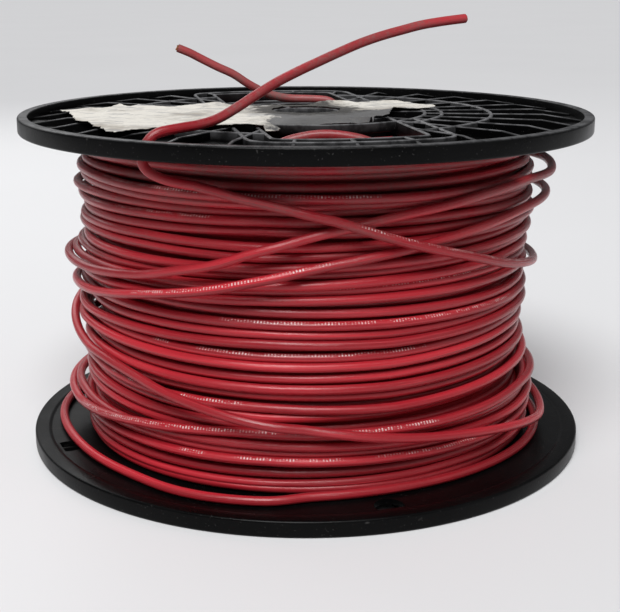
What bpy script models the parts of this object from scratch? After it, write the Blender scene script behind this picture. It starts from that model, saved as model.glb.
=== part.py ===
"""Spool of stranded electrical wire, standing on its lower flange.

Metres, +Z up. The origin is on the floor, on the spool's axis.
The two flanges are one moulding: the upper one is the lower one turned over.
"""

import math

import bmesh
import bpy
from mathutils import Matrix, Vector

MM = 0.001
GAP = 0.3 * MM                      # left between two pieces that touch

# Wire
WIRE_DIAMETER = 3.3 * MM            # stranded conductor with its jacket
WIRE_SIDES = 2                      # bevel resolution of the free ends

# Spool as a whole
FLANGE_RADIUS = 107.5 * MM
SPOOL_HEIGHT = 126.4 * MM

# Flange moulding, measured from its outer face inwards
RIM_HEIGHT = 6.0 * MM
RIM_WIDTH = 3.8 * MM
RIM_CHAMFER = 0.5 * MM
LIP_WIDTH = 6.5 * MM                # raised edge on the wire side
LIP_STEP = 0.5 * MM
WEB_THICKNESS = 2.0 * MM
RIB_THICKNESS = 1.4 * MM
RIB_RECESS = 0.5 * MM               # tops of the rings lie this far below the rim
STEP_BETWEEN_TOPS = 0.05 * MM       # walls and ribs end this much lower, each in its turn
RIB_SPACING = 12                    # degrees between the outer radial ribs
RIB_FIRST = 2                       # degrees, first outer rib
INNER_RIBS = 10
RIB_SLOPE_LENGTH = 18.5 * MM        # the ribs run down to the rim over this length
RIB_SLOPE_DROP = 2.2 * MM
RING_OFFSETS = (10.2 * MM, 16.6 * MM, 34.9 * MM)    # ring ribs, from the barrel outwards
HUB_RING_WALL = 2.2 * MM
ARBOR_RADIUS = 12.7 * MM
FLANGE_STEPS = 60
HOLE_STEPS = 12
ARBOR_STEPS = 24

# Windows in the flange, one on each side of the barrel
WINDOW_WIDTH = 50.5 * MM
WINDOW_TO_RIM = 25.5 * MM           # from the window's curved end to the flange's edge
WINDOW_WALL = 1.4 * MM
WINDOW_SECOND_WALL = 9.6 * MM       # from the window's edge to the outer wall's edge
WINDOW_ARC_STEPS = 6
TOP_WINDOW_TURN = 11                # degrees from the Y axis
BOTTOM_WINDOW_TURN = -24.5
POCKET_LEFT = 0.1 * MM              # floor between a window's two walls, below the web's face

# Holes that the wire's outer end can be passed through
WIRE_HOLE_RADIUS = 5.2 * MM
WIRE_HOLE_TO_RIM = 0.9 * MM         # from the hole's edge to the rim wall
WIRE_HOLE_OFFSET = 41               # degrees either side of each window's middle

# Barrel
BARREL_RADIUS = 35.0 * MM
BARREL_WALL = 2.5 * MM
BARREL_STEPS = 48
SPIGOT_WALL = 2.0 * MM
SPIGOT_HEIGHT = 4.0 * MM

# Winding, one solid round the barrel that shows its turns outside and on both ends
LAYER_PITCH = 3.9 * MM
GROOVE_DEPTH = 1.1 * MM             # between the layers on the ends
TURN_CREST = 1.2 * MM               # width of the flat on an outer turn's crest
TURN_SET_IN = 0.9 * MM              # how much deeper the turns laid first lie
TURN_GROOVE = 1.4 * MM              # between two outer turns that touch
TURN_GAP = 3.2 * MM                 # between two that stand a turn apart
WINDING_TOP_RADIUS = 85.6 * MM
WINDING_MIDDLE_RADIUS = 85.2 * MM
WINDING_WAIST_RADIUS = 84.0 * MM
WINDING_SHOULDER_RADIUS = 88.0 * MM
WINDING_FOOT_RADIUS = 86.0 * MM
WINDING_SHOULDER_HEIGHT = 0.1       # shares of the winding's height
WINDING_WAIST_HEIGHT = 0.34
WINDING_MIDDLE_HEIGHT = 0.62
WINDING_TOP_GAP = 1.3 * MM
WINDING_BOTTOM_GAP = 0.6 * MM
WINDING_STEPS = 32

# Outer turns from the top down, read from the photograph at five angles round the axis:
# order of laying, then heights as shares of the winding's height
TURN_ANGLES = (200, 230, 260, 290, 330)
OUTER_TURNS = (
    (1, 0.996, 0.996, 0.996, 0.996, 0.996), (2, 0.959, 0.968, 0.970, 0.969, 0.963),
    (1, 0.923, 0.924, 0.915, 0.915, 0.921), (2, 0.902, 0.896, 0.893, 0.890, 0.888),
    (2, 0.873, 0.870, 0.871, 0.871, 0.860), (1, 0.839, 0.845, 0.844, 0.854, 0.835),
    (2, 0.801, 0.814, 0.824, 0.815, 0.811), (1, 0.773, 0.783, 0.792, 0.781, 0.780),
    (2, 0.742, 0.752, 0.744, 0.751, 0.763), (1, 0.713, 0.720, 0.712, 0.722, 0.732),
    (2, 0.672, 0.677, 0.683, 0.694, 0.707), (1, 0.636, 0.649, 0.660, 0.671, 0.686),
    (2, 0.612, 0.623, 0.635, 0.645, 0.656), (1, 0.586, 0.598, 0.614, 0.621, 0.625),
    (2, 0.568, 0.582, 0.589, 0.590, 0.593), (1, 0.545, 0.558, 0.552, 0.546, 0.539),
    (2, 0.515, 0.519, 0.515, 0.509, 0.510), (1, 0.479, 0.485, 0.485, 0.478, 0.486),
    (2, 0.440, 0.449, 0.455, 0.451, 0.463), (1, 0.417, 0.418, 0.412, 0.413, 0.433),
    (2, 0.397, 0.392, 0.386, 0.385, 0.403), (1, 0.365, 0.352, 0.348, 0.348, 0.361),
    (2, 0.332, 0.328, 0.322, 0.318, 0.330), (1, 0.307, 0.303, 0.297, 0.290, 0.304),
    (2, 0.285, 0.271, 0.263, 0.258, 0.275), (1, 0.259, 0.246, 0.232, 0.239, 0.255),
    (2, 0.237, 0.218, 0.207, 0.184, 0.184), (1, 0.202, 0.188, 0.174, 0.168, 0.157),
    (2, 0.154, 0.156, 0.156, 0.152, 0.142), (1, 0.128, 0.131, 0.128, 0.126, 0.121),
    (2, 0.098, 0.101, 0.110, 0.108, 0.096), (1, 0.060, 0.060, 0.064, 0.068, 0.069),
    (2, 0.027, 0.026, 0.027, 0.034, 0.043),
)

# Paper label left on the upper flange
LABEL_THICKNESS = 0.3 * MM

# Values worked out from the sizes above
WEB_OUTER = RIM_HEIGHT - LIP_STEP - WEB_THICKNESS     # web's outer face, from the rim's face
WEB_INNER = RIM_HEIGHT - LIP_STEP                     # web's wire-side face
BARREL_BORE = BARREL_RADIUS - BARREL_WALL
EMBED = 0.4 * MM                                      # how far a rib is set into its web
RING_RADII = [BARREL_RADIUS + offset for offset in RING_OFFSETS]
WINDOW_OUTER = FLANGE_RADIUS - WINDOW_TO_RIM
WIRE_HOLE_CIRCLE = FLANGE_RADIUS - RIM_WIDTH - WIRE_HOLE_TO_RIM - WIRE_HOLE_RADIUS
WINDING_LOW = WEB_INNER + WINDING_BOTTOM_GAP
WINDING_HIGH = SPOOL_HEIGHT - WEB_INNER - WINDING_TOP_GAP

# Routes of the two free ends, in millimetres: points chosen along each wire
OUTER_END_ROUTE = (
    (-33.4, -87.0, 111.3), (-39.2, -86.7, 112.2), (-45.2, -86.0, 113.6), (-50.0, -85.2, 116.0),
    (-51.8, -84.8, 119.2), (-51.2, -84.5, 122.2), (-49.6, -84.0, 125.4), (-46.6, -82.8, 127.7),
    (-41.0, -80.2, 128.7), (-34.5, -76.0, 129.4), (-28.6, -71.0, 130.8), (-22.2, -66.0, 134.1),
    (-16.1, -61.0, 137.7), (-9.6, -56.0, 141.3), (-2.3, -50.4, 144.6), (4.8, -45.0, 147.5),
    (11.9, -39.4, 150.3), (19.2, -34.0, 153.0), (26.6, -29.0, 155.2), (34.2, -24.0, 157.0),
    (41.6, -19.0, 158.6), (50.4, -14.0, 159.8), (58.2, -10.0, 160.6),
)
INNER_END_ROUTE = (
    (12.9, 35.0, 121.4), (12.7, 35.1, 123.2), (11.4, 35.4, 125.2), (8.4, 36.0, 126.6),
    (1.7, 37.0, 127.0), (-5.7, 37.0, 127.2), (-11.4, 36.0, 128.1), (-16.7, 35.0, 129.8),
    (-19.9, 34.0, 131.5), (-23.9, 33.0, 133.8), (-29.4, 32.0, 137.5), (-35.8, 31.0, 140.5),
    (-43.2, 30.0, 144.3), (-46.3, 29.0, 146.0), (-51.0, 28.0, 148.0),
)

# Loose turns that lie across the winding. Each point is an angle in degrees from +X, seen from
# above, then the distance from the winding's crests to the middle of the turn in wire
# diameters, then the share of the winding's height. The first turn leads to the outer end.
LOOSE_TURNS = (
    ((-110.7, 2.29, 0.925), (-107, 2.11, 0.914), (-104, 1.96, 0.901), (-96, 1.76, 0.876),
     (-89, 1.83, 0.851), (-83, 1.87, 0.83), (-75, 1.89, 0.791), (-66, 1.91, 0.751),
     (-54, 1.44, 0.704), (-39, 0.97, 0.647), (-26, 0.79, 0.613), (-11, 0.77, 0.586),
     (10, 0.78, 0.574), (40, 0.76, 0.568), (70, 0.76, 0.572), (100, 0.75, 0.576),
     (130, 0.75, 0.582), (160, 0.74, 0.591), (178, 0.76, 0.6), (191, 0.79, 0.604),
     (203, 0.73, 0.604), (213, 0.73, 0.608), (230, 0.73, 0.634), (241, 0.72, 0.668),
     (251, 0.71, 0.7), (260, 0.7, 0.744), (271, 0.68, 0.783), (278, 0.67, 0.804),
     (291, 0.65, 0.839), (301, 0.67, 0.859), (313, 0.76, 0.88), (330, 1.02, 0.889),
     (341, 1.66, 0.887), (349, 2.24, 0.888), (357, 2.23, 0.896), (366, 1.65, 0.907),
     (380, 1.05, 0.917), (400, 0.89, 0.922)),
    ((-240, 0.87, 0.484), (-215, 0.87, 0.485), (-195, 0.94, 0.493), (-182, 1.05, 0.503),
     (-169, 1.06, 0.513), (-157, 0.89, 0.524), (-145, 0.77, 0.542), (-124, 0.71, 0.591),
     (-109, 0.7, 0.63), (-100, 0.69, 0.66), (-89, 0.69, 0.69), (-78, 0.68, 0.715),
     (-69, 0.67, 0.734), (-62, 0.66, 0.749), (-50, 0.65, 0.771), (-32, 0.85, 0.797),
     (-20, 1.37, 0.806), (-10, 1.79, 0.81), (0, 1.7, 0.811), (10, 1.18, 0.813), (24, 0.78, 0.82),
     (50, 0.75, 0.827), (80, 0.75, 0.833)),
    ((-222, 0.85, 0.445), (-200, 1.12, 0.434), (-184, 1.39, 0.415), (-172, 1.49, 0.381),
     (-163, 1.3, 0.35), (-155, 0.9, 0.33), (-145, 0.74, 0.322), (-129, 0.64, 0.3),
     (-112, 0.6, 0.27), (-98, 0.68, 0.242), (-90, 0.71, 0.226), (-78, 0.83, 0.201),
     (-70, 1.09, 0.183), (-65, 1.33, 0.173), (-58, 1.56, 0.161), (-48, 1.62, 0.144),
     (-39, 1.64, 0.124), (-27, 1.64, 0.093), (-17, 1.76, 0.067), (-8, 1.78, 0.058),
     (5, 1.58, 0.063), (20, 1.31, 0.075), (50, 1.1, 0.091), (80, 1.06, 0.1)),
    ((-300, 1.31, 0.013), (-270, 1.61, 0.013), (-240, 2.21, 0.013), (-215, 3, 0.013),
     (-200, 3.55, 0.013), (-189, 3.7, 0.013), (-183, 3.49, 0.013), (-176, 3.06, 0.013),
     (-169, 2.7, 0.013), (-162, 2.43, 0.013), (-155, 2.24, 0.013), (-147, 2.18, 0.013),
     (-132, 2.21, 0.013), (-124, 2.34, 0.013), (-117, 2.34, 0.013), (-109, 2, 0.013),
     (-100, 1.61, 0.013), (-90, 1.37, 0.013), (-83, 1, 0.013), (-73, 0.82, 0.013),
     (-64, 0.79, 0.013), (-56, 0.85, 0.013), (-46, 0.97, 0.013), (-31, 1.27, 0.013),
     (-23, 1.46, 0.013), (0, 1.58, 0.013), (20, 1.49, 0.013), (40, 1.37, 0.013)),
)
LOOSE_SPACING = 3.4                 # points along a loose turn, in wire diameters
END_SPACING = 2.0                   # points along a free end, in wire diameters
SMOOTHING = 16                      # steps between two points of a route

# Torn outline of the label, in millimetres, seen from above
LABEL_OUTLINE = (
    (-93.0, -2.5), (-84.0, -24.0), (-80.5, -39.5), (-76.0, -40.0), (-71.5, -54.5), (-69.0, -57.5),
    (-65.0, -71.0), (-61.0, -75.5), (-58.0, -74.5), (-55.8, -68.5), (-51.6, -60.5), (-47.2, -57.7),
    (-38.0, -56.0), (-28.8, -54.8), (-19.5, -52.8), (-9.5, -52.8), (-9.0, -46.0), (-12.0, -36.8),
    (-3.0, -42.7), (12.0, -36.8), (21.8, -28.2), (30.0, -19.5), (33.8, -0.5), (44.0, 5.5),
    (50.5, 9.7), (44.2, 21.8), (36.5, 35.0), (31.6, 34.8), (21.0, 26.0), (13.6, 23.4),
    (3.0, 17.0), (-13.5, 15.0), (-26.0, 9.0), (-33.0, 20.5), (-36.5, 23.0), (-42.5, 19.5),
    (-53.0, 9.3), (-65.8, 17.1), (-69.0, 11.6), (-73.5, 15.5), (-75.0, 2.5), (-83.3, 0.4),
)


def clear_scene():
    for thing in list(bpy.data.objects):
        bpy.data.objects.remove(thing, do_unlink=True)


def make_collection(name):
    collection = bpy.data.collections.new(name)
    bpy.context.scene.collection.children.link(collection)
    return collection


def make_material(name, colour, roughness, metallic=0.0):
    material = bpy.data.materials.new(name)
    material.use_nodes = True
    shader = material.node_tree.nodes["Principled BSDF"]
    shader.inputs["Base Color"].default_value = (*colour, 1.0)
    shader.inputs["Roughness"].default_value = roughness
    shader.inputs["Metallic"].default_value = metallic
    return material


def place(name, data, collection):
    thing = bpy.data.objects.new(name, data)
    collection.objects.link(thing)
    return thing


def as_cutter(thing):
    thing.hide_render = True
    thing.display_type = "WIRE"
    return thing


def turned(name, profile, steps, collection):
    """Turn a closed profile of (radius, height) points about the Z axis."""
    mesh = bpy.data.meshes.new(name)
    shape = bmesh.new()
    points = [shape.verts.new((radius, 0.0, height)) for radius, height in profile]
    for first, second in zip(points, points[1:] + points[:1]):
        shape.edges.new((first, second))
    shape.to_mesh(mesh)
    shape.free()
    thing = place(name, mesh, collection)
    screw = thing.modifiers.new("Turn", "SCREW")
    screw.axis = "Z"
    screw.angle = math.tau
    screw.steps = steps
    screw.render_steps = steps
    screw.use_merge_vertices = True
    screw.merge_threshold = 0.00005
    screw.use_normal_calculate = False
    return thing


def evaluated_mesh(thing, name, weld=0.00001):
    """The mesh that an object shows with its modifiers, with loose caps joined on."""
    bpy.context.view_layer.update()
    graph = bpy.context.evaluated_depsgraph_get()
    mesh = bpy.data.meshes.new_from_object(thing.evaluated_get(graph))
    mesh.name = name
    shape = bmesh.new()
    shape.from_mesh(mesh)
    bmesh.ops.remove_doubles(shape, verts=shape.verts, dist=weld)
    shape.to_mesh(mesh)
    shape.free()
    return mesh


def plate(name, outline, thickness, collection):
    """A flat plate of an outline in X and Y, with its middle at height 0."""
    curve = bpy.data.curves.new(name, "CURVE")
    curve.dimensions = "2D"
    curve.fill_mode = "BOTH"
    curve.extrude = thickness / 2
    spline = curve.splines.new("POLY")
    spline.points.add(len(outline) - 1)
    for point, (x, y) in zip(spline.points, outline):
        point.co = (x, y, 0.0, 1.0)
    spline.use_cyclic_u = True
    source = place(name + "_outline", curve, collection)
    thing = place(name, evaluated_mesh(source, name), collection)
    bpy.data.objects.remove(source, do_unlink=True)
    return thing


def copies_as_one(name, mesh, placings, collection):
    """One object that holds a copy of a mesh at each of several placings."""
    shape = bmesh.new()
    for placing in placings:
        piece = mesh.copy()
        piece.transform(placing)
        shape.from_mesh(piece)
        bpy.data.meshes.remove(piece)
    joined = bpy.data.meshes.new(name)
    shape.to_mesh(joined)
    shape.free()
    return place(name, joined, collection)


def add_boolean(thing, other, operation):
    step = thing.modifiers.new(other.name, "BOOLEAN")
    step.operation = operation
    step.solver = "EXACT"
    step.object = other
    return step


def smooth_points(points):
    """Many points on a smooth curve through the points given."""
    knots = [Vector(point) for point in points]
    knots = [2 * knots[0] - knots[1]] + knots + [2 * knots[-1] - knots[-2]]
    fine = []
    for before, start, end, after in zip(knots, knots[1:], knots[2:], knots[3:]):
        for part in range(SMOOTHING):
            t = part / SMOOTHING
            bend = (2 * before - 5 * start + 4 * end - after) * t * t
            twist = (3 * start - before - 3 * end + after) * t ** 3
            fine.append(0.5 * (2 * start + (end - before) * t + bend + twist))
    fine.append(knots[-2])
    return fine


def evenly(fine, spacing):
    """Points at an even spacing along a finely divided line, both ends kept."""
    length = sum((b - a).length for a, b in zip(fine, fine[1:]))
    count = max(2, round(length / spacing))
    wanted = [length * number / count for number in range(count)]
    route = []
    travelled = 0.0
    for a, b in zip(fine, fine[1:]):
        stretch = (b - a).length
        while len(route) < count and wanted[len(route)] <= travelled + stretch:
            route.append(a.lerp(b, (wanted[len(route)] - travelled) / stretch))
        travelled += stretch
    return route + [fine[-1]]


def wire_tube(name, line, spacing, material, collection):
    """A round wire along a fine line in metres, with a point every so many diameters."""
    curve = bpy.data.curves.new(name, "CURVE")
    curve.dimensions = "3D"
    curve.bevel_depth = WIRE_DIAMETER / 2
    curve.bevel_resolution = WIRE_SIDES
    curve.use_fill_caps = True
    spline = curve.splines.new("POLY")
    points = evenly(line, spacing * WIRE_DIAMETER)
    spline.points.add(len(points) - 1)
    for point, place_at in zip(spline.points, points):
        point.co = (*place_at, 1.0)
    curve.materials.append(material)
    return place(name, curve, collection)


# Flange

def flange_profile():
    """Clockwise outline of the turned part of the flange, its outer face at height 0."""
    inner = ARBOR_RADIUS
    spigot_outer = BARREL_BORE - GAP
    lip_start = FLANGE_RADIUS - LIP_WIDTH
    points = [
        (inner, WEB_INNER),
        (spigot_outer - SPIGOT_WALL, WEB_INNER),
        (spigot_outer - SPIGOT_WALL, WEB_INNER + SPIGOT_HEIGHT),
        (spigot_outer, WEB_INNER + SPIGOT_HEIGHT),
        (spigot_outer, WEB_INNER),
        (lip_start, WEB_INNER),
        (lip_start + 2 * LIP_STEP, RIM_HEIGHT),
        (FLANGE_RADIUS - RIM_CHAMFER, RIM_HEIGHT),
        (FLANGE_RADIUS, RIM_HEIGHT - RIM_CHAMFER),
        (FLANGE_RADIUS, RIM_CHAMFER),
        (FLANGE_RADIUS - RIM_CHAMFER, 0.0),
        (FLANGE_RADIUS - RIM_WIDTH, 0.0),
        (FLANGE_RADIUS - RIM_WIDTH, WEB_OUTER),
    ]
    for radius in reversed(RING_RADII):
        points += ring_points(radius + RIB_THICKNESS / 2, radius - RIB_THICKNESS / 2)
    hub_outer = ARBOR_RADIUS + HUB_RING_WALL
    points += [(hub_outer, WEB_OUTER), (hub_outer, RIB_RECESS), (inner, RIB_RECESS)]
    return points


def ring_points(outer, inner):
    return [(outer, WEB_OUTER), (outer, RIB_RECESS), (inner, RIB_RECESS), (inner, WEB_OUTER)]


def radial_ribs(collection):
    """All radial ribs in one object: outer ones to the rim, fewer inner ones at the hub."""
    top = RIB_RECESS + 3 * STEP_BETWEEN_TOPS
    root = WEB_OUTER + EMBED
    start = RING_RADII[0]
    rim = FLANGE_RADIUS - RIM_WIDTH
    outer_outline = [
        (start, top), (FLANGE_RADIUS - RIB_SLOPE_LENGTH, top), (rim - EMBED, top + RIB_SLOPE_DROP),
        (rim + EMBED, top + RIB_SLOPE_DROP), (rim + EMBED, root), (start, root),
    ]
    hub = ARBOR_RADIUS + HUB_RING_WALL / 2
    inner_outline = [(hub, top), (start - EMBED, top), (start - EMBED, root), (hub, root)]
    upright = Matrix.Rotation(math.radians(90), 4, "X")
    placings = {}
    outer = plate("outer_rib", outer_outline, RIB_THICKNESS, collection)
    inner = plate("inner_rib", inner_outline, RIB_THICKNESS, collection)
    count = 360 // RIB_SPACING
    outer_angles = [RIB_FIRST + RIB_SPACING * number for number in range(count)]
    inner_first = RIB_FIRST + RIB_SPACING / 2
    inner_angles = [inner_first + 360 * number / INNER_RIBS for number in range(INNER_RIBS)]
    for rib, angles in ((outer, outer_angles), (inner, inner_angles)):
        placings[rib] = [Matrix.Rotation(math.radians(angle), 4, "Z") @ upright for angle in angles]
    joined = []
    for rib, turns in placings.items():
        joined.append(as_cutter(copies_as_one(rib.name + "s", rib.data, turns, collection)))
        bpy.data.objects.remove(rib, do_unlink=True)
    return joined


def window_outline(offset, inner_radius):
    """Outline of the window towards +Y, grown sideways and outwards by an offset."""
    half = WINDOW_WIDTH / 2 + offset
    points = []
    for radius, turn in ((WINDOW_OUTER + offset, 1), (inner_radius, -1)):
        spread = math.asin(half / radius)
        for number in range(WINDOW_ARC_STEPS + 1):
            angle = turn * spread * (1 - 2 * number / WINDOW_ARC_STEPS)
            points.append((radius * math.sin(angle), radius * math.cos(angle)))
    return points


def both_sides(name, outline, low, high, collection):
    """A plate of an outline between two heights, and its copy on the other side of the hub."""
    thin = plate(name + "_plate", outline, high - low, collection)
    lift = Matrix.Translation((0.0, 0.0, (low + high) / 2))
    turns = [lift, Matrix.Rotation(math.pi, 4, "Z") @ lift]
    pair = copies_as_one(name, thin.data, turns, collection)
    bpy.data.objects.remove(thin, do_unlink=True)
    return as_cutter(pair)


def flange_mesh(collection):
    """The flange moulding, outer face down at height 0, its windows towards +Y and -Y."""
    flange = turned("flange_turned", flange_profile(), FLANGE_STEPS, collection)
    for ribs in radial_ribs(collection):
        add_boolean(flange, ribs, "UNION")

    second = WINDOW_SECOND_WALL
    first_ring = RING_RADII[0]
    steps = (
        ("second_wall", second, first_ring, RIB_RECESS + STEP_BETWEEN_TOPS,
         WEB_OUTER + EMBED, "UNION"),
        ("pocket", second - WINDOW_WALL, first_ring + WINDOW_WALL, -RIM_HEIGHT,
         WEB_OUTER + POCKET_LEFT, "DIFFERENCE"),
        ("first_wall", WINDOW_WALL, BARREL_RADIUS - WINDOW_WALL,
         RIB_RECESS + 2 * STEP_BETWEEN_TOPS, WEB_OUTER + EMBED, "UNION"),
        ("window", 0.0, BARREL_RADIUS, -RIM_HEIGHT, 2 * RIM_HEIGHT, "DIFFERENCE"),
    )
    for name, offset, inner, low, high, operation in steps:
        shape = both_sides(name, window_outline(offset, inner), low, high, collection)
        add_boolean(flange, shape, operation)
    add_boolean(flange, wire_holes(collection), "DIFFERENCE")
    mesh = evaluated_mesh(flange, "flange", 0.0)
    bpy.data.objects.remove(flange, do_unlink=True)
    return mesh


def wire_holes(collection):
    shape = bmesh.new()
    for side in (0, 180):
        for offset in (-WIRE_HOLE_OFFSET, WIRE_HOLE_OFFSET):
            angle = math.radians(90 + side + offset)
            middle = (WIRE_HOLE_CIRCLE * math.cos(angle), WIRE_HOLE_CIRCLE * math.sin(angle), 0.0)
            bmesh.ops.create_cone(
                shape, cap_ends=True, segments=HOLE_STEPS, radius1=WIRE_HOLE_RADIUS,
                radius2=WIRE_HOLE_RADIUS, depth=4 * RIM_HEIGHT, matrix=Matrix.Translation(middle))
    mesh = bpy.data.meshes.new("wire_holes")
    shape.to_mesh(mesh)
    shape.free()
    return as_cutter(place("wire_holes", mesh, collection))


def make_flanges(material, parts, cutters):
    mesh = flange_mesh(cutters)
    mesh.materials.clear()
    mesh.materials.append(material)
    mesh.shade_smooth()
    mesh.set_sharp_from_angle(angle=math.radians(30))
    bottom = place("bottom_flange", mesh, parts)
    bottom.rotation_euler = (0.0, 0.0, math.radians(BOTTOM_WINDOW_TURN))
    top = place("top_flange", mesh, parts)
    top.location = (0.0, 0.0, SPOOL_HEIGHT)
    top.rotation_euler = (math.pi, 0.0, math.radians(TOP_WINDOW_TURN))


# Barrel

def make_barrel(material, parts):
    low = WEB_INNER + GAP
    high = SPOOL_HEIGHT - low
    profile = [(BARREL_BORE, high), (BARREL_RADIUS, high), (BARREL_RADIUS, low), (BARREL_BORE, low)]
    barrel = turned("barrel", profile, BARREL_STEPS, parts)
    barrel.data.materials.append(material)


# Winding

def winding_radius(share):
    """Outer radius at a share of the winding's height: foot, shoulder, waist, middle, top."""
    heights = (0.0, WINDING_SHOULDER_HEIGHT, WINDING_WAIST_HEIGHT, WINDING_MIDDLE_HEIGHT, 1.0)
    radii = (WINDING_FOOT_RADIUS, WINDING_SHOULDER_RADIUS, WINDING_WAIST_RADIUS,
             WINDING_MIDDLE_RADIUS, WINDING_TOP_RADIUS)
    for low, high, start, end in zip(heights, heights[1:], radii, radii[1:]):
        if share <= high:
            blend = (share - low) / (high - low)
            blend = blend * blend * (3 - 2 * blend)
            return start + (end - start) * blend
    return radii[-1]


def outer_turns(angle):
    """Height and crest radius of each outer turn at an angle in degrees, from the top down."""
    angles = TURN_ANGLES + (TURN_ANGLES[0] + 360,)
    angle = (angle - angles[0]) % 360 + angles[0]
    column = max(i for i in range(len(TURN_ANGLES)) if angles[i] <= angle)
    blend = (angle - angles[column]) / (angles[column + 1] - angles[column])
    turns = []
    for order, *shares in OUTER_TURNS:
        shares.append(shares[0])
        share = shares[column] + (shares[column + 1] - shares[column]) * blend
        radius = winding_radius(share) - (TURN_SET_IN if order == 1 else 0.0)
        turns.append((WINDING_LOW + share * (WINDING_HIGH - WINDING_LOW), radius))
    return turns


def groove_between(upper, lower):
    """The groove's point between two turns, deeper where they stand apart."""
    spacing = upper[0] - lower[0]
    apart = min(max((spacing - WIRE_DIAMETER) / (WIRE_DIAMETER / 2), 0.0), 1.0)
    depth = TURN_GROOVE + (TURN_GAP - TURN_GROOVE) * apart
    depth = min(depth, 0.45 * spacing + (TURN_GAP - TURN_GROOVE) * apart)
    return min(upper[1], lower[1]) - depth, (upper[0] + lower[0]) / 2


def winding_outline(angle):
    """Clockwise outline of the winding's section at an angle, the same count at each."""
    low, high = WINDING_LOW, WINDING_HIGH
    bore = BARREL_RADIUS + GAP
    points = [(bore, high - GROOVE_DEPTH)]
    points += end_turns(bore, winding_radius(1.0), high, -1)
    turns = outer_turns(angle)
    for number, (height, radius) in enumerate(turns):
        above = turns[number - 1][0] - height if number else WIRE_DIAMETER
        below = height - turns[number + 1][0] if number < len(turns) - 1 else WIRE_DIAMETER
        top = min(height + min(TURN_CREST / 2, above * 0.2), high - 0.04 * TURN_CREST)
        points.append((radius, top))
        points.append((radius, height - min(TURN_CREST / 2, below * 0.2)))
        if number < len(turns) - 1:
            points.append(groove_between(turns[number], turns[number + 1]))
    points += reversed(end_turns(bore, winding_radius(0.0), low, 1))
    points.append((bore, low + GROOVE_DEPTH))
    return points


def end_turns(inner, outer, level, inwards):
    """Crests and grooves of the layers that show on one end, from the bore outwards."""
    layers = round((outer - inner) / LAYER_PITCH)
    pitch = (outer - inner) / layers
    points = []
    for number in range(layers):
        points.append((inner + (number + 0.5) * pitch, level))
        if number < layers - 1:
            points.append((inner + (number + 1) * pitch, level + inwards * GROOVE_DEPTH))
    return points


def make_winding(material, parts):
    shape = bmesh.new()
    rings = []
    for step in range(WINDING_STEPS):
        angle = 360 * step / WINDING_STEPS
        turn = math.radians(angle)
        rings.append([shape.verts.new((radius * math.cos(turn), radius * math.sin(turn), height))
                      for radius, height in winding_outline(angle)])
    for ring, after in zip(rings, rings[1:] + rings[:1]):
        for i in range(len(ring)):
            j = (i + 1) % len(ring)
            shape.faces.new((ring[i], ring[j], after[j], after[i]))
    bmesh.ops.triangulate(shape, faces=shape.faces)
    mesh = bpy.data.meshes.new("wire_winding")
    bmesh.ops.recalc_face_normals(shape, faces=shape.faces)
    shape.to_mesh(mesh)
    shape.free()
    winding = place("wire_winding", mesh, parts)
    winding.data.materials.append(material)


# Free ends and loose turns of the wire

def on_winding(angle, stand_off, share):
    """A point outside the winding: stand-off in wire diameters, height as a share."""
    turn = math.radians(angle)
    radius = winding_radius(share) + stand_off * WIRE_DIAMETER
    height = WINDING_LOW + share * (WINDING_HIGH - WINDING_LOW)
    return Vector((radius * math.cos(turn), radius * math.sin(turn), height))


def make_wires(material, parts):
    for name, route in (("wire_end_outer", OUTER_END_ROUTE), ("wire_end_inner", INNER_END_ROUTE)):
        line = [point * MM for point in smooth_points(route)]
        wire_tube(name, line, END_SPACING, material, parts)
    for number, turn in enumerate(LOOSE_TURNS, 1):
        line = [on_winding(*point) for point in smooth_points(turn)]
        wire_tube(f"loose_turn_{number}", line, LOOSE_SPACING, material, parts)


# Label

def make_label(material, parts, cutters):
    outline = [(x * MM, y * MM) for x, y in LABEL_OUTLINE]
    flat = plate("label_flat", outline, LABEL_THICKNESS, cutters)
    hole = as_cutter(arbor_cutter(cutters))
    add_boolean(flat, hole, "DIFFERENCE")
    mesh = evaluated_mesh(flat, "label")
    bpy.data.objects.remove(flat, do_unlink=True)
    level = SPOOL_HEIGHT - RIB_RECESS + GAP + LABEL_THICKNESS / 2
    mesh.materials.clear()
    mesh.materials.append(material)
    label = place("label", mesh, parts)
    label.location = (0.0, 0.0, level)


def arbor_cutter(collection):
    shape = bmesh.new()
    bmesh.ops.create_cone(
        shape, cap_ends=True, segments=ARBOR_STEPS, radius1=ARBOR_RADIUS,
        radius2=ARBOR_RADIUS, depth=RIM_HEIGHT)
    mesh = bpy.data.meshes.new("arbor_cutter")
    shape.to_mesh(mesh)
    shape.free()
    return place("arbor_cutter", mesh, collection)


def main():
    clear_scene()
    parts = make_collection("wire_spool")
    cutters = make_collection("cutters")
    black_plastic = make_material("black_plastic", (0.012, 0.012, 0.013), 0.45)
    red_jacket = make_material("red_jacket", (0.36, 0.018, 0.028), 0.42)
    label_paper = make_material("label_paper", (0.66, 0.62, 0.56), 0.85)

    make_flanges(black_plastic, parts, cutters)
    make_barrel(black_plastic, parts)
    make_winding(red_jacket, parts)
    make_wires(red_jacket, parts)
    make_label(label_paper, parts, cutters)


main()
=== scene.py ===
import math

import bpy
import numpy as np
from mathutils import Matrix, Vector, noise
from mathutils.geometry import delaunay_2d_cdt


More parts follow.
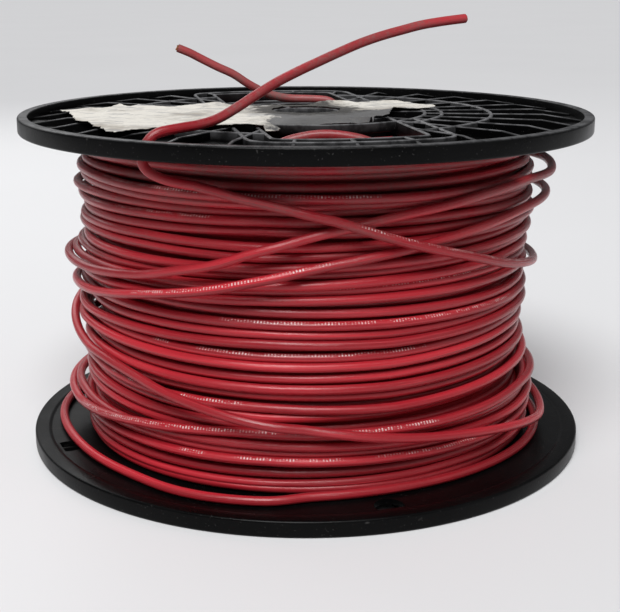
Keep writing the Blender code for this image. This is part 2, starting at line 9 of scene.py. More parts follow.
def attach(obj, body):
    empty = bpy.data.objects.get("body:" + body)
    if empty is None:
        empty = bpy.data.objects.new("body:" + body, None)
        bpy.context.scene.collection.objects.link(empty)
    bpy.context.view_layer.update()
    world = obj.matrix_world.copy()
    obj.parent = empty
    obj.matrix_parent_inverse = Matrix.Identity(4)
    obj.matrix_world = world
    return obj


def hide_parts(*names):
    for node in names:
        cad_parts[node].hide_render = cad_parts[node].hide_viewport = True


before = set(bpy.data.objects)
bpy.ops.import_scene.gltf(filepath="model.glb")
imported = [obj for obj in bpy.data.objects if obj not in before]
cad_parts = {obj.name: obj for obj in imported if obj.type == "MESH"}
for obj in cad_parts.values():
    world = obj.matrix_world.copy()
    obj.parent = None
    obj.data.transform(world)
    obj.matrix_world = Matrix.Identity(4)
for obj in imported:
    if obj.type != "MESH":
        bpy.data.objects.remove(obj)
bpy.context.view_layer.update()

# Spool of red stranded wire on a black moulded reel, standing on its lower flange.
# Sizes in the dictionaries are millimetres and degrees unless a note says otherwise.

mm = 0.001

reel = {
    "height": 126.4, "radius": 107.5, "rimHeight": 6.0, "rimWidth": 3.8, "rimRound": 0.9,
    "footRound": 0.4, "webOuter": 3.5, "webInner": 5.5, "webLap": 0.8, "rimSunk": 0.4,
    # the lip inside the rim: steps from its foot outwards, and over the web or under the top
    "lipWidth": 6.5, "lipFoot": ((-1.0, -0.05), (0.0, 0.0), (0.5, 0.15)),
    "lipTop": ((1.0, -0.1), (1.6, 0.0)),
    "barrelRadius": 35.0, "barrelWall": 2.5, "fitGap": 0.3, "arborRadius": 12.7,
    "hubWall": 2.2, "hubFrom": 0.5, "hubTo": 5.4, "hubRound": 0.3,
    "spigotWall": 2.0, "spigotFrom": 5.2, "spigotTo": 9.5, "spigotRound": 0.2,
    "topTurn": 11.0, "bottomTurn": -24.5, "steps": 240, "hubSteps": 96, "arborSteps": 72,
}
rimInside = reel["radius"] - reel["rimWidth"]
wire = {"diameter": 3.3, "strandPitch": 0.47, "strandDiameter": 0.43, "curveSteps": 12}
sharpFrom = {"wire": 50, "plastic": 35, "strands": 40, "paper": 50}


# Helpers that every piece uses

def linkObject(name, data):
    thing = bpy.data.objects.new(name, data)
    bpy.context.scene.collection.objects.link(thing)
    return thing


def meshOf(name, points, faces, edges=()):
    mesh = bpy.data.meshes.new(name)
    mesh.from_pydata(points, edges, faces)
    return mesh


def gridFaces(rows, columns, closed):
    # four-sided faces on rows of points that each close on themselves
    i = np.arange(rows if closed else rows - 1)[:, None]
    j = np.arange(columns)[None, :]
    start, after, nextJ = i * columns, (i + 1) % rows * columns, (j + 1) % columns
    corners = (start + j, start + nextJ, after + nextJ, after + j)
    return np.stack(corners, axis=-1).reshape(-1, 4).tolist()


def markPoints(mesh, name, values):
    layer = mesh.attributes.new(name, "FLOAT", "POINT")
    layer.data.foreach_set("value", values.astype(np.float32))


def addPiece(name, mesh, material, replaced=()):
    piece = linkObject(name, mesh)
    mesh.materials.clear()
    mesh.materials.append(material)
    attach(piece, "root")
    if replaced:
        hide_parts(*replaced)
    return piece


def plainMesh(name, source):
    # the evaluated shape of an object as a mesh of its own; the source goes
    bpy.context.view_layer.update()
    graph = bpy.context.evaluated_depsgraph_get()
    mesh = bpy.data.meshes.new_from_object(source.evaluated_get(graph))
    mesh.name = name
    bpy.data.objects.remove(source, do_unlink=True)
    return mesh


def smoothed(mesh, kind):
    mesh.shade_smooth()
    mesh.set_sharp_from_angle(angle=math.radians(sharpFrom[kind]))
    return mesh


def unit(vectors):
    return vectors / np.maximum(np.linalg.norm(vectors, axis=1, keepdims=True), 1e-9)


def eased(share):
    share = np.clip(share, 0, 1)
    return share * share * (3 - 2 * share)


def runOf(line):
    return np.concatenate([[0], np.cumsum(np.linalg.norm(np.diff(line, axis=0), axis=1))])


def curveThrough(points, steps=wire["curveSteps"]):
    # a smooth line through the points, in so many steps between two of them
    knots = np.asarray(points, float)
    knots = np.vstack([2 * knots[0] - knots[1], knots, 2 * knots[-1] - knots[-2]])
    count = len(knots) - 3
    a, b, c, d = (knots[i:count + i, None, :] for i in range(4))
    t = (np.arange(steps) / steps)[None, :, None]
    line = 0.5 * (2 * b + (c - a) * t + (2 * a - 5 * b + 4 * c - d) * t ** 2
                  + (3 * b - a - 3 * c + d) * t ** 3)
    return np.vstack([line.reshape(-1, knots.shape[1]), knots[-2]])


def evenly(line, spacing):
    run = runOf(line)
    wanted = np.linspace(0, run[-1], max(2, round(run[-1] / spacing)) + 1)
    return np.stack([np.interp(wanted, run, column) for column in line.T], axis=1)


def wireMesh(name, line, sides, facing=None, start=0.0, printed=None):
    # round wire along a line; u runs along it in metres, and v round it from the side that
    # faces away from the axis, or the way that is given
    tangent = unit(np.gradient(line, axis=0))
    outwards = line * (1, 1, 0) if facing is None else np.tile(facing, (len(line), 1))
    outwards = unit(outwards - np.sum(outwards * tangent, axis=1, keepdims=True) * tangent)
    sideways = np.cross(tangent, outwards)
    turn = (np.arange(sides) * math.tau / sides)[None, :, None]
    ring = np.cos(turn) * outwards[:, None, :] + np.sin(turn) * sideways[:, None, :]
    points = (line[:, None, :] + ring * wire["diameter"] / 2) * mm
    last = (len(line) - 1) * sides
    caps = [list(range(sides - 1, -1, -1)), list(range(last, last + sides))]
    mesh = meshOf(name, points.reshape(-1, 3).tolist(), gridFaces(len(line), sides, False) + caps)

    u = ((start + runOf(line)) * mm)[:, None] * np.ones(sides)
    v = np.broadcast_to(np.arange(sides) / sides, u[1:].shape)
    corners = ((u[:-1], v), (u[:-1], v + 1 / sides), (u[1:], v + 1 / sides), (u[1:], v))
    uvs = np.stack([np.stack(corner, -1) for corner in corners], axis=2).reshape(-1, 2)
    uvs = np.vstack([uvs, np.zeros((2 * sides, 2))])
    layer = mesh.uv_layers.new(name="along")
    layer.data.foreach_set("uv", uvs.astype(np.float32).ravel())
    marks = np.zeros(len(line)) if printed is None else printed
    markPoints(mesh, "printed", np.repeat(marks, sides))
    return smoothed(mesh, "wire")


def turnedMesh(name, profile, steps):
    # closed clockwise profile of (radius, height) points turned about the axis
    profile = np.asarray(profile, float) * mm
    angles = np.arange(steps) * math.tau / steps
    points = np.stack([
        np.outer(np.cos(angles), profile[:, 0]), np.outer(np.sin(angles), profile[:, 0]),
        np.broadcast_to(profile[:, 1], (steps, len(profile)))], axis=-1)
    faces = gridFaces(steps, len(profile), True)
    return smoothed(meshOf(name, points.reshape(-1, 3).tolist(), faces), "plastic")


# Camera, in front and a little above
view = {"distance": 467.6, "height": 174.4, "pitch": 15.01, "lens": 70.73, "sensor": 36,
        "shift": 0.0067, "near": 10}

camera = bpy.data.cameras.new("photoCamera")
camera.lens = view["lens"]
camera.sensor_width = view["sensor"]
camera.shift_x = view["shift"]
camera.clip_start = view["near"] * mm
cameraObject = linkObject("photoCamera", camera)
cameraObject.location = (0, -view["distance"] * mm, view["height"] * mm)
cameraObject.rotation_euler = (math.radians(90 - view["pitch"]), 0, 0)
bpy.context.scene.camera = cameraObject


# Nodes, for the materials and for the Geometry Nodes trees

def feed(tree, node, inputs):
    # each input by name or number: a value, or the socket that feeds it
    for key, value in inputs.items():
        if isinstance(value, bpy.types.NodeSocket):
            tree.links.new(value, node.inputs[key])
        else:
            node.inputs[key].default_value = value


def addNode(tree, kind, inputs=None, **settings):
    node = tree.nodes.new(kind)
    for key, value in settings.items():
        setattr(node, key, value)
    feed(tree, node, inputs or {})
    return node.outputs


# the next six take their tree from the socket that they are given

def mathNode(operation, a, b=0.0, clamp=False):
    return addNode(a.id_data, "ShaderNodeMath", {0: a, 1: b}, operation=operation,
                   use_clamp=clamp)[0]


def product(value, *others):
    for other in others:
        value = mathNode("MULTIPLY", value, other)
    return value


def ramp(value, low, high, outLow=0.0, outHigh=1.0):
    return addNode(value.id_data, "ShaderNodeMapRange", {
        "Value": value, "From Min": low, "From Max": high, "To Min": outLow,
        "To Max": outHigh}, interpolation_type="SMOOTHSTEP")["Result"]


def mixColour(share, a, b):
    a, b = ((*colour, 1.0) if isinstance(colour, tuple) else colour for colour in (a, b))
    return addNode(share.id_data, "ShaderNodeMix", {"Factor": share, 6: a, 7: b},
                   data_type="RGBA")[2]


def noiseOf(vector, scale, detail=3.0, roughness=0.55, distortion=0.0):
    # a scale of three numbers stretches the noise along the axes
    tree = vector.id_data
    if isinstance(scale, tuple):
        vector = addNode(tree, "ShaderNodeMapping", {"Vector": vector, "Scale": scale})[0]
        scale = 1.0
    return addNode(tree, "ShaderNodeTexNoise", {
        "Vector": vector, "Scale": scale, "Detail": detail, "Roughness": roughness,
        "Distortion": distortion})["Fac"]


def separate(vector):
    return addNode(vector.id_data, "ShaderNodeSeparateXYZ", {0: vector})


def newMaterial(name):
    # a material, and where a point of it lies: in metres, and along the wire
    material = bpy.data.materials.new(name)
    material.use_nodes = True
    coordinates = addNode(material.node_tree, "ShaderNodeTexCoord")
    return material, coordinates["Object"], coordinates["UV"]


def marksOf(material, name):
    return addNode(material.node_tree, "ShaderNodeAttribute", attribute_name=name)["Fac"]


def finishMaterial(material, inputs, relief=None):
    # the shader's own sockets, and a bump of height, strength and distance in metres
    tree = material.node_tree
    shader = tree.nodes["Principled BSDF"]
    feed(tree, shader, inputs)
    if relief:
        bump = dict(zip(("Height", "Strength", "Distance"), relief))
        feed(tree, shader, {"Normal": addNode(tree, "ShaderNodeBump", bump)["Normal"]})
    return material


# Materials: a noise's scale is per metre, and a larger one is finer; three numbers stretch it
# along x, y and z, or for the jacket along the wire and round it

redLook = {
    "base": (0.44, 0.018, 0.029), "deep": (0.24, 0.008, 0.014), "bright": (0.58, 0.040, 0.056),
    "slow": (9.0, 1.5, 1.0), "streaks": (26.0, 14.0, 1.0),
    "dust": (0.16, 0.085, 0.078), "dustFrom": 0.078, "dustTo": 0.120,      # heights in metres
    "dustPatches": 34.0, "dustGrains": 900.0, "dustRough": 0.35,
    # the ticks: shares of the way round the wire, then metres, then breaks along it
    "print": (0.62, 0.48, 0.47), "printWidth": 0.055, "printMiddle": 0.87, "printWander": 0.03,
    "wanderScale": (3.2, 0.0, 1.0),
    "tickPitch": 0.0011, "tickBreaks": (620.0, 14.0, 1.0), "groups": (42.0, 0.0, 1.0),
    "wornAway": (160.0, 6.0, 1.0), "printStrength": 0.95,
    "roughness": 0.29, "coat": 0.06, "coatRoughness": 0.2, "specular": 0.36,
    "bump": 0.6, "bumpDepth": 0.0003,
}


def makeRedJacket(name, look, dirt=0.0):
    material, place, along = newMaterial(name)
    u, v = separate(along)[:2]

    # tone of the extruded jacket: slow changes along a turn, fine streaks along the wire
    slow = noiseOf(along, look["slow"], 2.0)
    streak = noiseOf(along, look["streaks"], 4.0, 0.65)
    colour = mixColour(ramp(slow, 0.35, 0.68), look["deep"], look["base"])
    colour = mixColour(ramp(streak, 0.52, 0.78, 0.0, 0.55), colour, look["bright"])

    # dust lies thickest near the top of the coil
    height = separate(place)[2]
    settled = ramp(height, look["dustFrom"], look["dustTo"], 0.08, 0.62)
    patches = ramp(noiseOf(place, look["dustPatches"], 5.0, 0.65), 0.36, 0.66)
    grains = ramp(noiseOf(place, look["dustGrains"], 2.0), 0.42, 0.62)
    dust = product(settled, patches, ramp(grains, 0.0, 1.0, 0.55, 1.0))
    dust = mathNode("ADD", dust, dirt, clamp=True)
    colour = mixColour(dust, colour, look["dust"])

    # rows of short pale strokes on the stretches that are marked as printed
    middle, wander = look["printMiddle"], look["printWander"]
    middle = ramp(noiseOf(along, look["wanderScale"], 1.0), 0.3, 0.7,
                  middle - wander, middle + wander)
    offset = mathNode("ABSOLUTE", mathNode("SUBTRACT", v, middle))
    band = mathNode("LESS_THAN", offset, look["printWidth"])
    ticks = mathNode("SINE", product(u, math.tau / look["tickPitch"]))
    breaks = ramp(noiseOf(along, look["tickBreaks"], 1.0), 0.38, 0.52)
    groups = ramp(noiseOf(along, look["groups"], 0.0), 0.32, 0.38)
    worn = ramp(noiseOf(along, look["wornAway"], 3.0), 0.35, 0.6)
    marks = product(band, ramp(ticks, -0.1, 0.5), breaks, groups, marksOf(material, "printed"),
                    worn, look["printStrength"])
    colour = mixColour(marks, colour, look["print"])

    rough = ramp(streak, 0.3, 0.75, look["roughness"] - 0.07, look["roughness"] + 0.1)
    rough = mathNode("ADD", rough, product(dust, look["dustRough"]), clamp=True)
    return finishMaterial(material, {
        "Base Color": colour, "Roughness": rough, "Coat Weight": look["coat"],
        "Coat Roughness": look["coatRoughness"], "Specular IOR Level": look["specular"],
    }, (streak, look["bump"], look["bumpDepth"]))


blackLook = {
    "base": (0.0014, 0.0014, 0.0015), "worn": (0.0045, 0.0045, 0.0048),
    # the pale colour painted on rib tops and the rim's edge is partly wear, partly a painted
    # highlight
    "wornAndHighlit": (0.15, 0.15, 0.155), "dust": (0.07, 0.068, 0.066), "roughness": 0.30,
    "specular": 0.08, "tone": 22.0, "wornAndHighlitPatches": 160.0, "specks": 1300.0, "grain": 1500.0,
    "scratches": (((40.0, 900.0, 300.0), 0.70), ((800.0, 60.0, 300.0), 0.71)),  # scale, threshold
    "bump": 0.25, "bumpDepth": 0.0002,
}


def makeBlackPlastic(name, look):
    material, place, _ = newMaterial(name)
    tone = noiseOf(place, look["tone"], 4.0, 0.6)
    colour = mixColour(ramp(tone, 0.4, 0.75, 0.0, 0.35), look["base"], look["worn"])

    # fine scratches in two directions and a little settled dust
    across, down = (ramp(noiseOf(place, scale, 2.0, 0.6, 0.3), edge, edge + 0.06)
                    for scale, edge in look["scratches"])
    scratch = product(mathNode("MAXIMUM", across, down), ramp(tone, 0.45, 0.6))
    colour = mixColour(product(scratch, 0.5), colour, look["dust"])
    specks = ramp(noiseOf(place, look["specks"], 1.0), 0.70, 0.76)
    colour = mixColour(product(specks, 0.35), colour, look["dust"])

    # rib tops and the rim's edge are painted paler in patches, partly as wear and partly as painted
    # highlight
    patches = noiseOf(place, look["wornAndHighlitPatches"], 4.0, 0.65)
    wornAndHighlit = product(marksOf(material, "wornAndHighlit"), ramp(patches, 0.36, 0.60, 0.30, 1.0))
    colour = mixColour(wornAndHighlit, colour, look["wornAndHighlit"])

    rough = ramp(tone, 0.3, 0.7, look["roughness"] - 0.06, look["roughness"] + 0.12)
    rough = mathNode("ADD", rough, product(scratch, 0.15), clamp=True)
    return finishMaterial(material, {
        "Base Color": colour, "Roughness": rough, "Specular IOR Level": look["specular"],
    }, (noiseOf(place, look["grain"], 2.0, 0.5), look["bump"], look["bumpDepth"]))


paperLook = {
    # the crease colour is painted shade in the paper's creases
    "base": (0.64, 0.615, 0.56), "soil": (0.24, 0.21, 0.17), "creaseShade": (0.27, 0.27, 0.28),
    "stains": 45.0, "creases": (70.0, 210.0, 70.0), "fibres": 1400.0, "roughness": 0.72,
    "bump": 0.5, "bumpDepth": 0.0006, "raggedScale": 180.0,
    # places on the label, in metres
    "ragged": 0.004, "hubDark": (0.016, 0.015, 0.014), "hubDarkFrom": 0.017, "hubDarkTo": 0.026,
    "shaded": (0.11, 0.11, 0.112), "shadedLeft": -0.014, "shadedFront": -0.002, "edge": 0.004,
}


def makeLabelPaper(name, look):
    material, place, _ = newMaterial(name)
    stain = noiseOf(place, look["stains"], 6.0, 0.65)
    creases = noiseOf(place, look["creases"], 5.0, 0.7, 1.2)
    colour = mixColour(ramp(stain, 0.46, 0.70, 0.0, 0.8), look["base"], look["soil"])
    # creases are painted grey, as the shade that falls in them
    colour = mixColour(ramp(creases, 0.50, 0.64, 0.0, 0.8), colour, look["creaseShade"])

    # the front half right of the hub is greyed, and the paper round the hub nearly black
    x, y = separate(place)[:2]
    ragged = ramp(noiseOf(place, look["raggedScale"], 4.0, 0.7), 0.3, 0.7,
                  -look["ragged"], look["ragged"])
    right = ramp(mathNode("ADD", x, ragged), look["shadedLeft"],
                 look["shadedLeft"] + look["edge"])
    front = ramp(mathNode("ADD", y, ragged), look["shadedFront"] - look["edge"],
                 look["shadedFront"], 1.0, 0.0)
    colour = mixColour(product(right, front), colour, look["shaded"])
    # the paper is painted nearly black towards the hub
    away = mathNode("SQRT", mathNode("ADD", product(x, x),
                                           product(y, y)))
    hubDark = ramp(mathNode("ADD", away, ragged), look["hubDarkFrom"], look["hubDarkTo"],
                 0.95, 0.0)
    colour = mixColour(hubDark, colour, look["hubDark"])
    fibre = ramp(noiseOf(place, look["fibres"], 3.0, 0.7), 0.4, 0.8, 0.0, 0.25)
    return finishMaterial(material, {
        "Base Color": mixColour(fibre, colour, look["soil"]),
        "Roughness": look["roughness"],
    }, (creases, look["bump"], look["bumpDepth"]))


copperLook = {"bright": (0.72, 0.33, 0.18), "dull": (0.30, 0.13, 0.07), "tarnish": 1800.0}


def makeCopper(name, look):
    material, place, _ = newMaterial(name)
    tarnish = noiseOf(place, look["tarnish"])
    return finishMaterial(material, {
        "Base Color": mixColour(ramp(tarnish, 0.35, 0.7), look["bright"],
                                look["dull"]),
        "Metallic": 1.0, "Roughness": ramp(tarnish, 0.3, 0.7, 0.25, 0.5)})


floorLook = {"from": (0.64, 0.64, 0.65), "to": (0.67, 0.67, 0.68), "scale": 3.0,
             "roughness": 0.6}


def makeFloorPaint(name, look):
    material, place, _ = newMaterial(name)
    tone = noiseOf(place, look["scale"], 2.0)
    return finishMaterial(material, {
        "Base Color": mixColour(tone, look["from"], look["to"]),
        "Roughness": look["roughness"]})


redJacket = makeRedJacket("redJacket", redLook)
redJacketDirty = makeRedJacket("redJacketDirty", redLook, dirt=0.35)
blackPlastic = makeBlackPlastic("blackPlastic", blackLook)
labelPaper = makeLabelPaper("labelPaper", paperLook)
copperBright = makeCopper("copperStrand", copperLook)
floorPaint = makeFloorPaint("paleFloor", floorLook)
print("materials made")


# Geometry Nodes: an empty tree with its named inputs, its end, and the mesh that it makes

def newTree(name, inputs):
    tree = bpy.data.node_groups.new(name, "GeometryNodeTree")
    sockets = tree.interface
    sockets.new_socket("Geometry", in_out="INPUT", socket_type="NodeSocketGeometry")
    for title, value in inputs.items():
        isSize = isinstance(value, float)
        kind = "NodeSocketFloat" if isSize else "NodeSocketMaterial"
        socket = sockets.new_socket(title, in_out="INPUT", socket_type=kind)
        if isSize:
            socket.default_value = value
    sockets.new_socket("Geometry", in_out="OUTPUT", socket_type="NodeSocketGeometry")
    return tree, addNode(tree, "NodeGroupInput")


def finishTree(tree, made, finish):
    real = addNode(tree, "GeometryNodeRealizeInstances", {0: made})
    painted = addNode(tree, "GeometryNodeSetMaterial", {"Geometry": real[0], "Material": finish})
    addNode(tree, "NodeGroupOutput", {0: painted[0]})
    return tree


def grown(name, source, tree, values):
    step = source.modifiers.new(name, "NODES")
    step.node_group = tree
    for item in tree.interface.items_tree:
        if item.item_type == "SOCKET" and item.in_out == "INPUT" and item.name in values:
            step[item.identifier] = values[item.name]
    return plainMesh(name, source)


# Strands of the cut tips: rings of (count, distance in pitches) round a middle one
strands = {"sides": 12, "length": 0.9, "ragged": 0.22, "rings": ((6, 1.0), (12, 1.93)), "seed": 4}
strandInputs = {
    "Strand Diameter": wire["strandDiameter"] * mm, "Strand Pitch": wire["strandPitch"] * mm,
    "Strand Length": strands["length"] * mm, "Ragged": strands["ragged"] * mm,
    "Strand Finish": copperBright,
}


def strandTree():
    tree, given = newTree("cutStrands", strandInputs)
    spots = tree.nodes.new("GeometryNodeJoinGeometry")
    tree.links.new(addNode(tree, "GeometryNodePoints")[0], spots.inputs[0])
    for count, share in strands["rings"]:
        ring = addNode(tree, "GeometryNodeMeshCircle", {
            "Vertices": count, "Radius": product(given["Strand Pitch"], share)})
        tree.links.new(ring[0], spots.inputs[0])
    strand = addNode(tree, "GeometryNodeMeshCylinder", {
        "Vertices": strands["sides"], "Radius": product(given["Strand Diameter"], 0.5),
        "Depth": given["Strand Length"]})
    uneven = addNode(tree, "FunctionNodeRandomValue", {
        "Seed": strands["seed"], 3: given["Ragged"]}, data_type="FLOAT")
    shift = addNode(tree, "ShaderNodeCombineXYZ", {2: uneven[1]})
    moved = addNode(tree, "GeometryNodeSetPosition", {
        "Geometry": spots.outputs[0], "Offset": shift[0]})
    each = addNode(tree, "GeometryNodeInstanceOnPoints", {
        "Points": moved[0], "Instance": strand[0]})
    return finishTree(tree, each[0], given["Strand Finish"])


def makeStrands(name, tree, line):
    mesh = grown(name, linkObject(name, bpy.data.meshes.new(name)), tree, strandInputs)
    forward = Vector(line[-1] - line[-2])
    mesh.transform(Matrix.Translation(Vector(line[-1]) * mm)
                   @ forward.to_track_quat("Z", "Y").to_matrix().to_4x4())
    return addPiece(name, smoothed(mesh, "strands"), copperBright)


# The two free ends of the wire

ends = {
    "outer": (
        (-33.4, -87.0, 111.3), (-39.2, -86.7, 112.2), (-45.2, -86.0, 113.6), (-50.0, -85.2, 116.0),
        (-51.8, -84.8, 119.2), (-51.2, -84.5, 122.2), (-49.6, -84.0, 125.4), (-46.6, -82.8, 127.7),
        (-41.0, -80.2, 128.7), (-34.5, -76.0, 129.4), (-28.6, -71.0, 130.8), (-22.2, -66.0, 134.1),
        (-16.1, -61.0, 137.7), (-9.6, -56.0, 141.3), (-2.3, -50.4, 144.6), (4.8, -45.0, 147.5),
        (11.9, -39.4, 150.3), (19.2, -34.0, 153.0), (26.6, -29.0, 155.2), (34.2, -24.0, 157.0),
        (41.6, -19.0, 158.6), (50.4, -14.0, 159.8), (58.2, -10.0, 160.6),
    ),
    "inner": (
        (12.9, 35.0, 121.4), (12.7, 35.1, 123.2), (11.4, 35.4, 125.2), (8.4, 36.0, 126.6),
        (1.7, 37.0, 127.0), (-5.7, 37.0, 127.2), (-11.4, 36.0, 128.1), (-16.7, 35.0, 129.8),
        (-19.9, 34.0, 131.5), (-23.9, 33.0, 133.8), (-29.4, 32.0, 137.5), (-35.8, 31.0, 140.5),
        (-43.2, 30.0, 144.3), (-46.3, 29.0, 146.0), (-51.0, 28.0, 148.0),
    ),
    "spacing": 1.6, "sides": 20, "facing": (0.2, 0.2, 1.0),
}


def makeFreeEnd(name, points, material, cadNode, tree):
    line = evenly(curveThrough(points), ends["spacing"])
    mesh = wireMesh(name, line, ends["sides"], ends["facing"])
    piece = addPiece(name, mesh, material, (cadNode,))
    cut = makeStrands(name + "Strands", tree, line)


cutStrands = strandTree()
makeFreeEnd("outerWireEnd", ends["outer"], redJacket, "wire_end_outer", cutStrands)
makeFreeEnd("innerWireEnd", ends["inner"], redJacketDirty, "wire_end_inner", cutStrands)
print("free ends laid")


# The winding: one layer under the outside, the outer turns and the loose turns over them

winding = {
    "samples": 180, "sides": 12, "looseSides": 16, "underSides": 10, "bridge": 0.045, "reach": 10,
    "low": 6.1, "high": 119.6, "setIn": 0.9, "smoothTurn": 4, "smoothAll": 8,
    # crest radius at shares of the height: foot, shoulder, waist, middle, top
    "shares": (0.0, 0.1, 0.34, 0.62, 1.0), "radii": (86.0, 88.0, 84.0, 85.2, 85.6),
    "columns": (200, 230, 260, 290, 330),       # degrees round the axis, the front is 270
    "begin": 90, "stepFrom": 55, "stepTo": 125,     # behind, where a turn climbs to the next
    "underTop": 117.7, "underPitch": 3.9, "underCount": 29, "underDepth": 3.9,
    "underSway": (0.5, 70, 3.0), "sway": (0.22, 40, 9.0),       # size, wavelength, seed
    "topTuck": (24, 22), "footTuck": (30, 29),      # samples from the end, and over how many
    "outerStart": 31.0, "looseStart": 0.1,          # where the skin's own length begins
}

# Outer turns from the foot up: order of laying, then the height at each column
outerTurns = (
    (2, 9.2, 9.0, 9.2, 10.0, 11.0), (1, 12.9, 12.9, 13.4, 13.8, 13.9),
    (2, 17.2, 17.6, 18.6, 18.4, 17.0), (1, 20.6, 21.0, 20.6, 20.4, 19.8),
    (2, 23.6, 23.8, 23.8, 23.3, 22.2), (1, 29.0, 27.4, 25.8, 25.2, 23.9),
    (3, 20.8, 25.9, 28.7, 29.3, 30.2), (2, 33.0, 30.8, 29.6, 27.0, 27.0),
    (1, 35.5, 34.0, 32.4, 33.2, 35.0), (2, 38.4, 36.9, 36.0, 35.4, 37.3),
    (1, 41.0, 40.5, 39.8, 39.0, 40.6), (2, 43.8, 43.3, 42.6, 42.2, 43.6),
    (1, 47.5, 46.1, 45.6, 45.6, 47.1), (2, 51.2, 50.6, 49.9, 49.8, 51.8),
    (1, 53.4, 53.5, 52.9, 53.0, 55.2), (2, 56.0, 57.1, 57.7, 57.3, 58.6),
    (1, 60.5, 61.1, 61.1, 60.3, 61.3), (2, 64.6, 65.0, 64.6, 63.9, 64.0),
    (1, 68.0, 69.4, 68.8, 68.1, 67.3), (2, 70.6, 72.2, 73.0, 73.1, 73.4),
    (1, 72.6, 74.0, 75.8, 76.6, 77.0), (2, 75.6, 76.8, 78.2, 79.3, 80.6),
    (1, 78.3, 79.8, 81.0, 82.3, 84.0), (2, 82.4, 82.9, 83.6, 84.9, 86.4),
    (1, 87.0, 87.8, 86.9, 88.1, 89.2), (2, 90.3, 91.4, 90.6, 91.3, 92.7),
    (1, 93.8, 95.0, 96.0, 94.8, 94.6), (2, 97.0, 98.5, 99.6, 98.6, 98.2),
    (1, 101.3, 102.0, 101.9, 103.0, 100.9), (2, 105.2, 104.9, 105.0, 105.0, 103.7),
    (3, 108.5, 107.8, 107.5, 107.1, 106.9), (1, 110.9, 111.0, 110.0, 109.9, 110.6),
    (2, 114.9, 116.0, 116.2, 116.1, 115.4), (1, 119.1, 119.2, 119.2, 119.2, 119.1),
)

# Turns that stand out at the coil's left side: row from the foot, angle, how far, half width
standingOut = (
    (28, 184, 4.2, 16), (27, 176, 2.6, 14), (24, 182, 2.4, 16), (22, 180, 4.0, 15),
    (17, 178, 3.2, 16), (14, 183, 3.2, 15), (12, 178, 4.2, 15), (10, 184, 1.8, 14),
    (4, 180, 3.0, 16),
)
# Stretches with ticks: row from the foot and its two angles, then angles along the loose route
printedRows = (
    (30, 215, 285), (27, 205, 250), (20, 270, 330), (17, 250, 330), (14, 230, 300),
    (9, 215, 255), (6, 205, 300), (2, 240, 330),
)
printedLoose = ((-80, -25), (588, 636))

# The loose turns as one route from the hole in the upper flange down to the foot:
# angle, distance from the axis, height
looseRoute = (
    (-112.3, 93.9, 111.6), (-110.7, 93.1, 111.1), (-107, 92.5, 109.8), (-104, 92.0, 108.4),
    (-96, 91.3, 105.5), (-89, 91.5, 102.7), (-83, 91.6, 100.3), (-75, 91.6, 95.9),
    (-66, 91.6, 91.3), (-54, 90.0, 86.0), (-39, 88.4, 79.5), (-26, 87.8, 75.7),
    (-11, 87.7, 72.6), (10, 87.7, 71.2), (40, 87.6, 70.6), (70, 87.6, 71.0), (100, 87.6, 71.5),
    (130, 87.6, 72.2), (160, 87.6, 73.2), (178, 87.7, 74.2), (191, 87.8, 74.6),
    (203, 87.6, 74.6), (213, 87.6, 75.1), (230, 87.6, 78.1), (241, 87.6, 81.9),
    (251, 87.6, 85.6), (260, 87.6, 90.5), (271, 87.6, 95.0), (278, 87.6, 97.4),
    (291, 87.6, 101.3), (301, 87.7, 103.6), (313, 88.0, 106.0), (330, 88.9, 107.0),
    (341, 91.0, 106.8), (349, 92.9, 106.9), (357, 92.9, 107.8), (366, 91.0, 108.2),
    (380, 89.0, 107.0), (400, 87.6, 100.0), (420, 87.6, 90.0), (440, 87.6, 79.0),
    (460, 87.6, 69.0), (480, 87.5, 62.5), (505, 87.5, 61.0), (525, 87.8, 62.0),
    (538, 88.2, 63.2), (551, 88.3, 64.3), (563, 87.8, 65.6), (575, 87.5, 67.6),
    (596, 87.5, 73.2), (611, 87.5, 77.6), (620, 87.5, 81.0), (631, 87.5, 84.4),
    (642, 87.5, 87.3), (651, 87.5, 89.4), (658, 87.5, 91.1), (670, 87.5, 93.6),
    (688, 88.2, 96.6), (700, 89.9, 97.6), (710, 91.3, 98.0), (720, 91.0, 98.1),
    (730, 89.3, 98.0), (744, 88.0, 95.6), (770, 87.6, 88.0), (800, 87.6, 76.0),
    (830, 87.4, 64.0), (858, 87.2, 56.6), (880, 88.0, 55.4), (896, 88.8, 53.2),
    (908, 89.0, 49.4), (917, 88.3, 45.8), (925, 87.0, 43.6), (935, 86.5, 42.6),
    (951, 86.4, 40.1), (968, 86.8, 36.7), (982, 87.7, 33.6), (990, 88.2, 31.8),
    (1002, 89.2, 28.9), (1010, 90.5, 26.9), (1015, 91.5, 25.7), (1022, 92.5, 24.4),
    (1032, 93.0, 22.4), (1041, 93.3, 20.2), (1053, 93.4, 16.6), (1063, 93.3, 13.7),
    (1072, 93.1, 12.7), (1085, 92.6, 12.9), (1100, 92.0, 13.2), (1130, 91.4, 12.0),
    (1155, 91.2, 9.4), (1175, 91.5, 7.7), (1200, 93.4, 7.2), (1225, 96.0, 7.2),
    (1240, 97.8, 7.2), (1251, 98.3, 7.2), (1257, 97.6, 7.2), (1264, 96.2, 7.2),
    (1271, 95.0, 7.2), (1278, 94.1, 7.2), (1285, 93.5, 7.2), (1293, 93.3, 7.2),
    (1308, 93.4, 7.2), (1316, 93.8, 7.2), (1323, 93.8, 7.2), (1331, 92.7, 7.2),
    (1340, 91.4, 7.2), (1350, 90.6, 7.2), (1357, 89.4, 7.2), (1367, 88.8, 7.2),
    (1376, 88.7, 7.2), (1384, 88.9, 7.2), (1394, 89.3, 7.2), (1409, 90.3, 7.2),
    (1417, 90.9, 7.2), (1440, 91.3, 7.2), (1465, 90.6, 7.2), (1495, 88.0, 7.8),
    (1530, 85.0, 8.6),
)


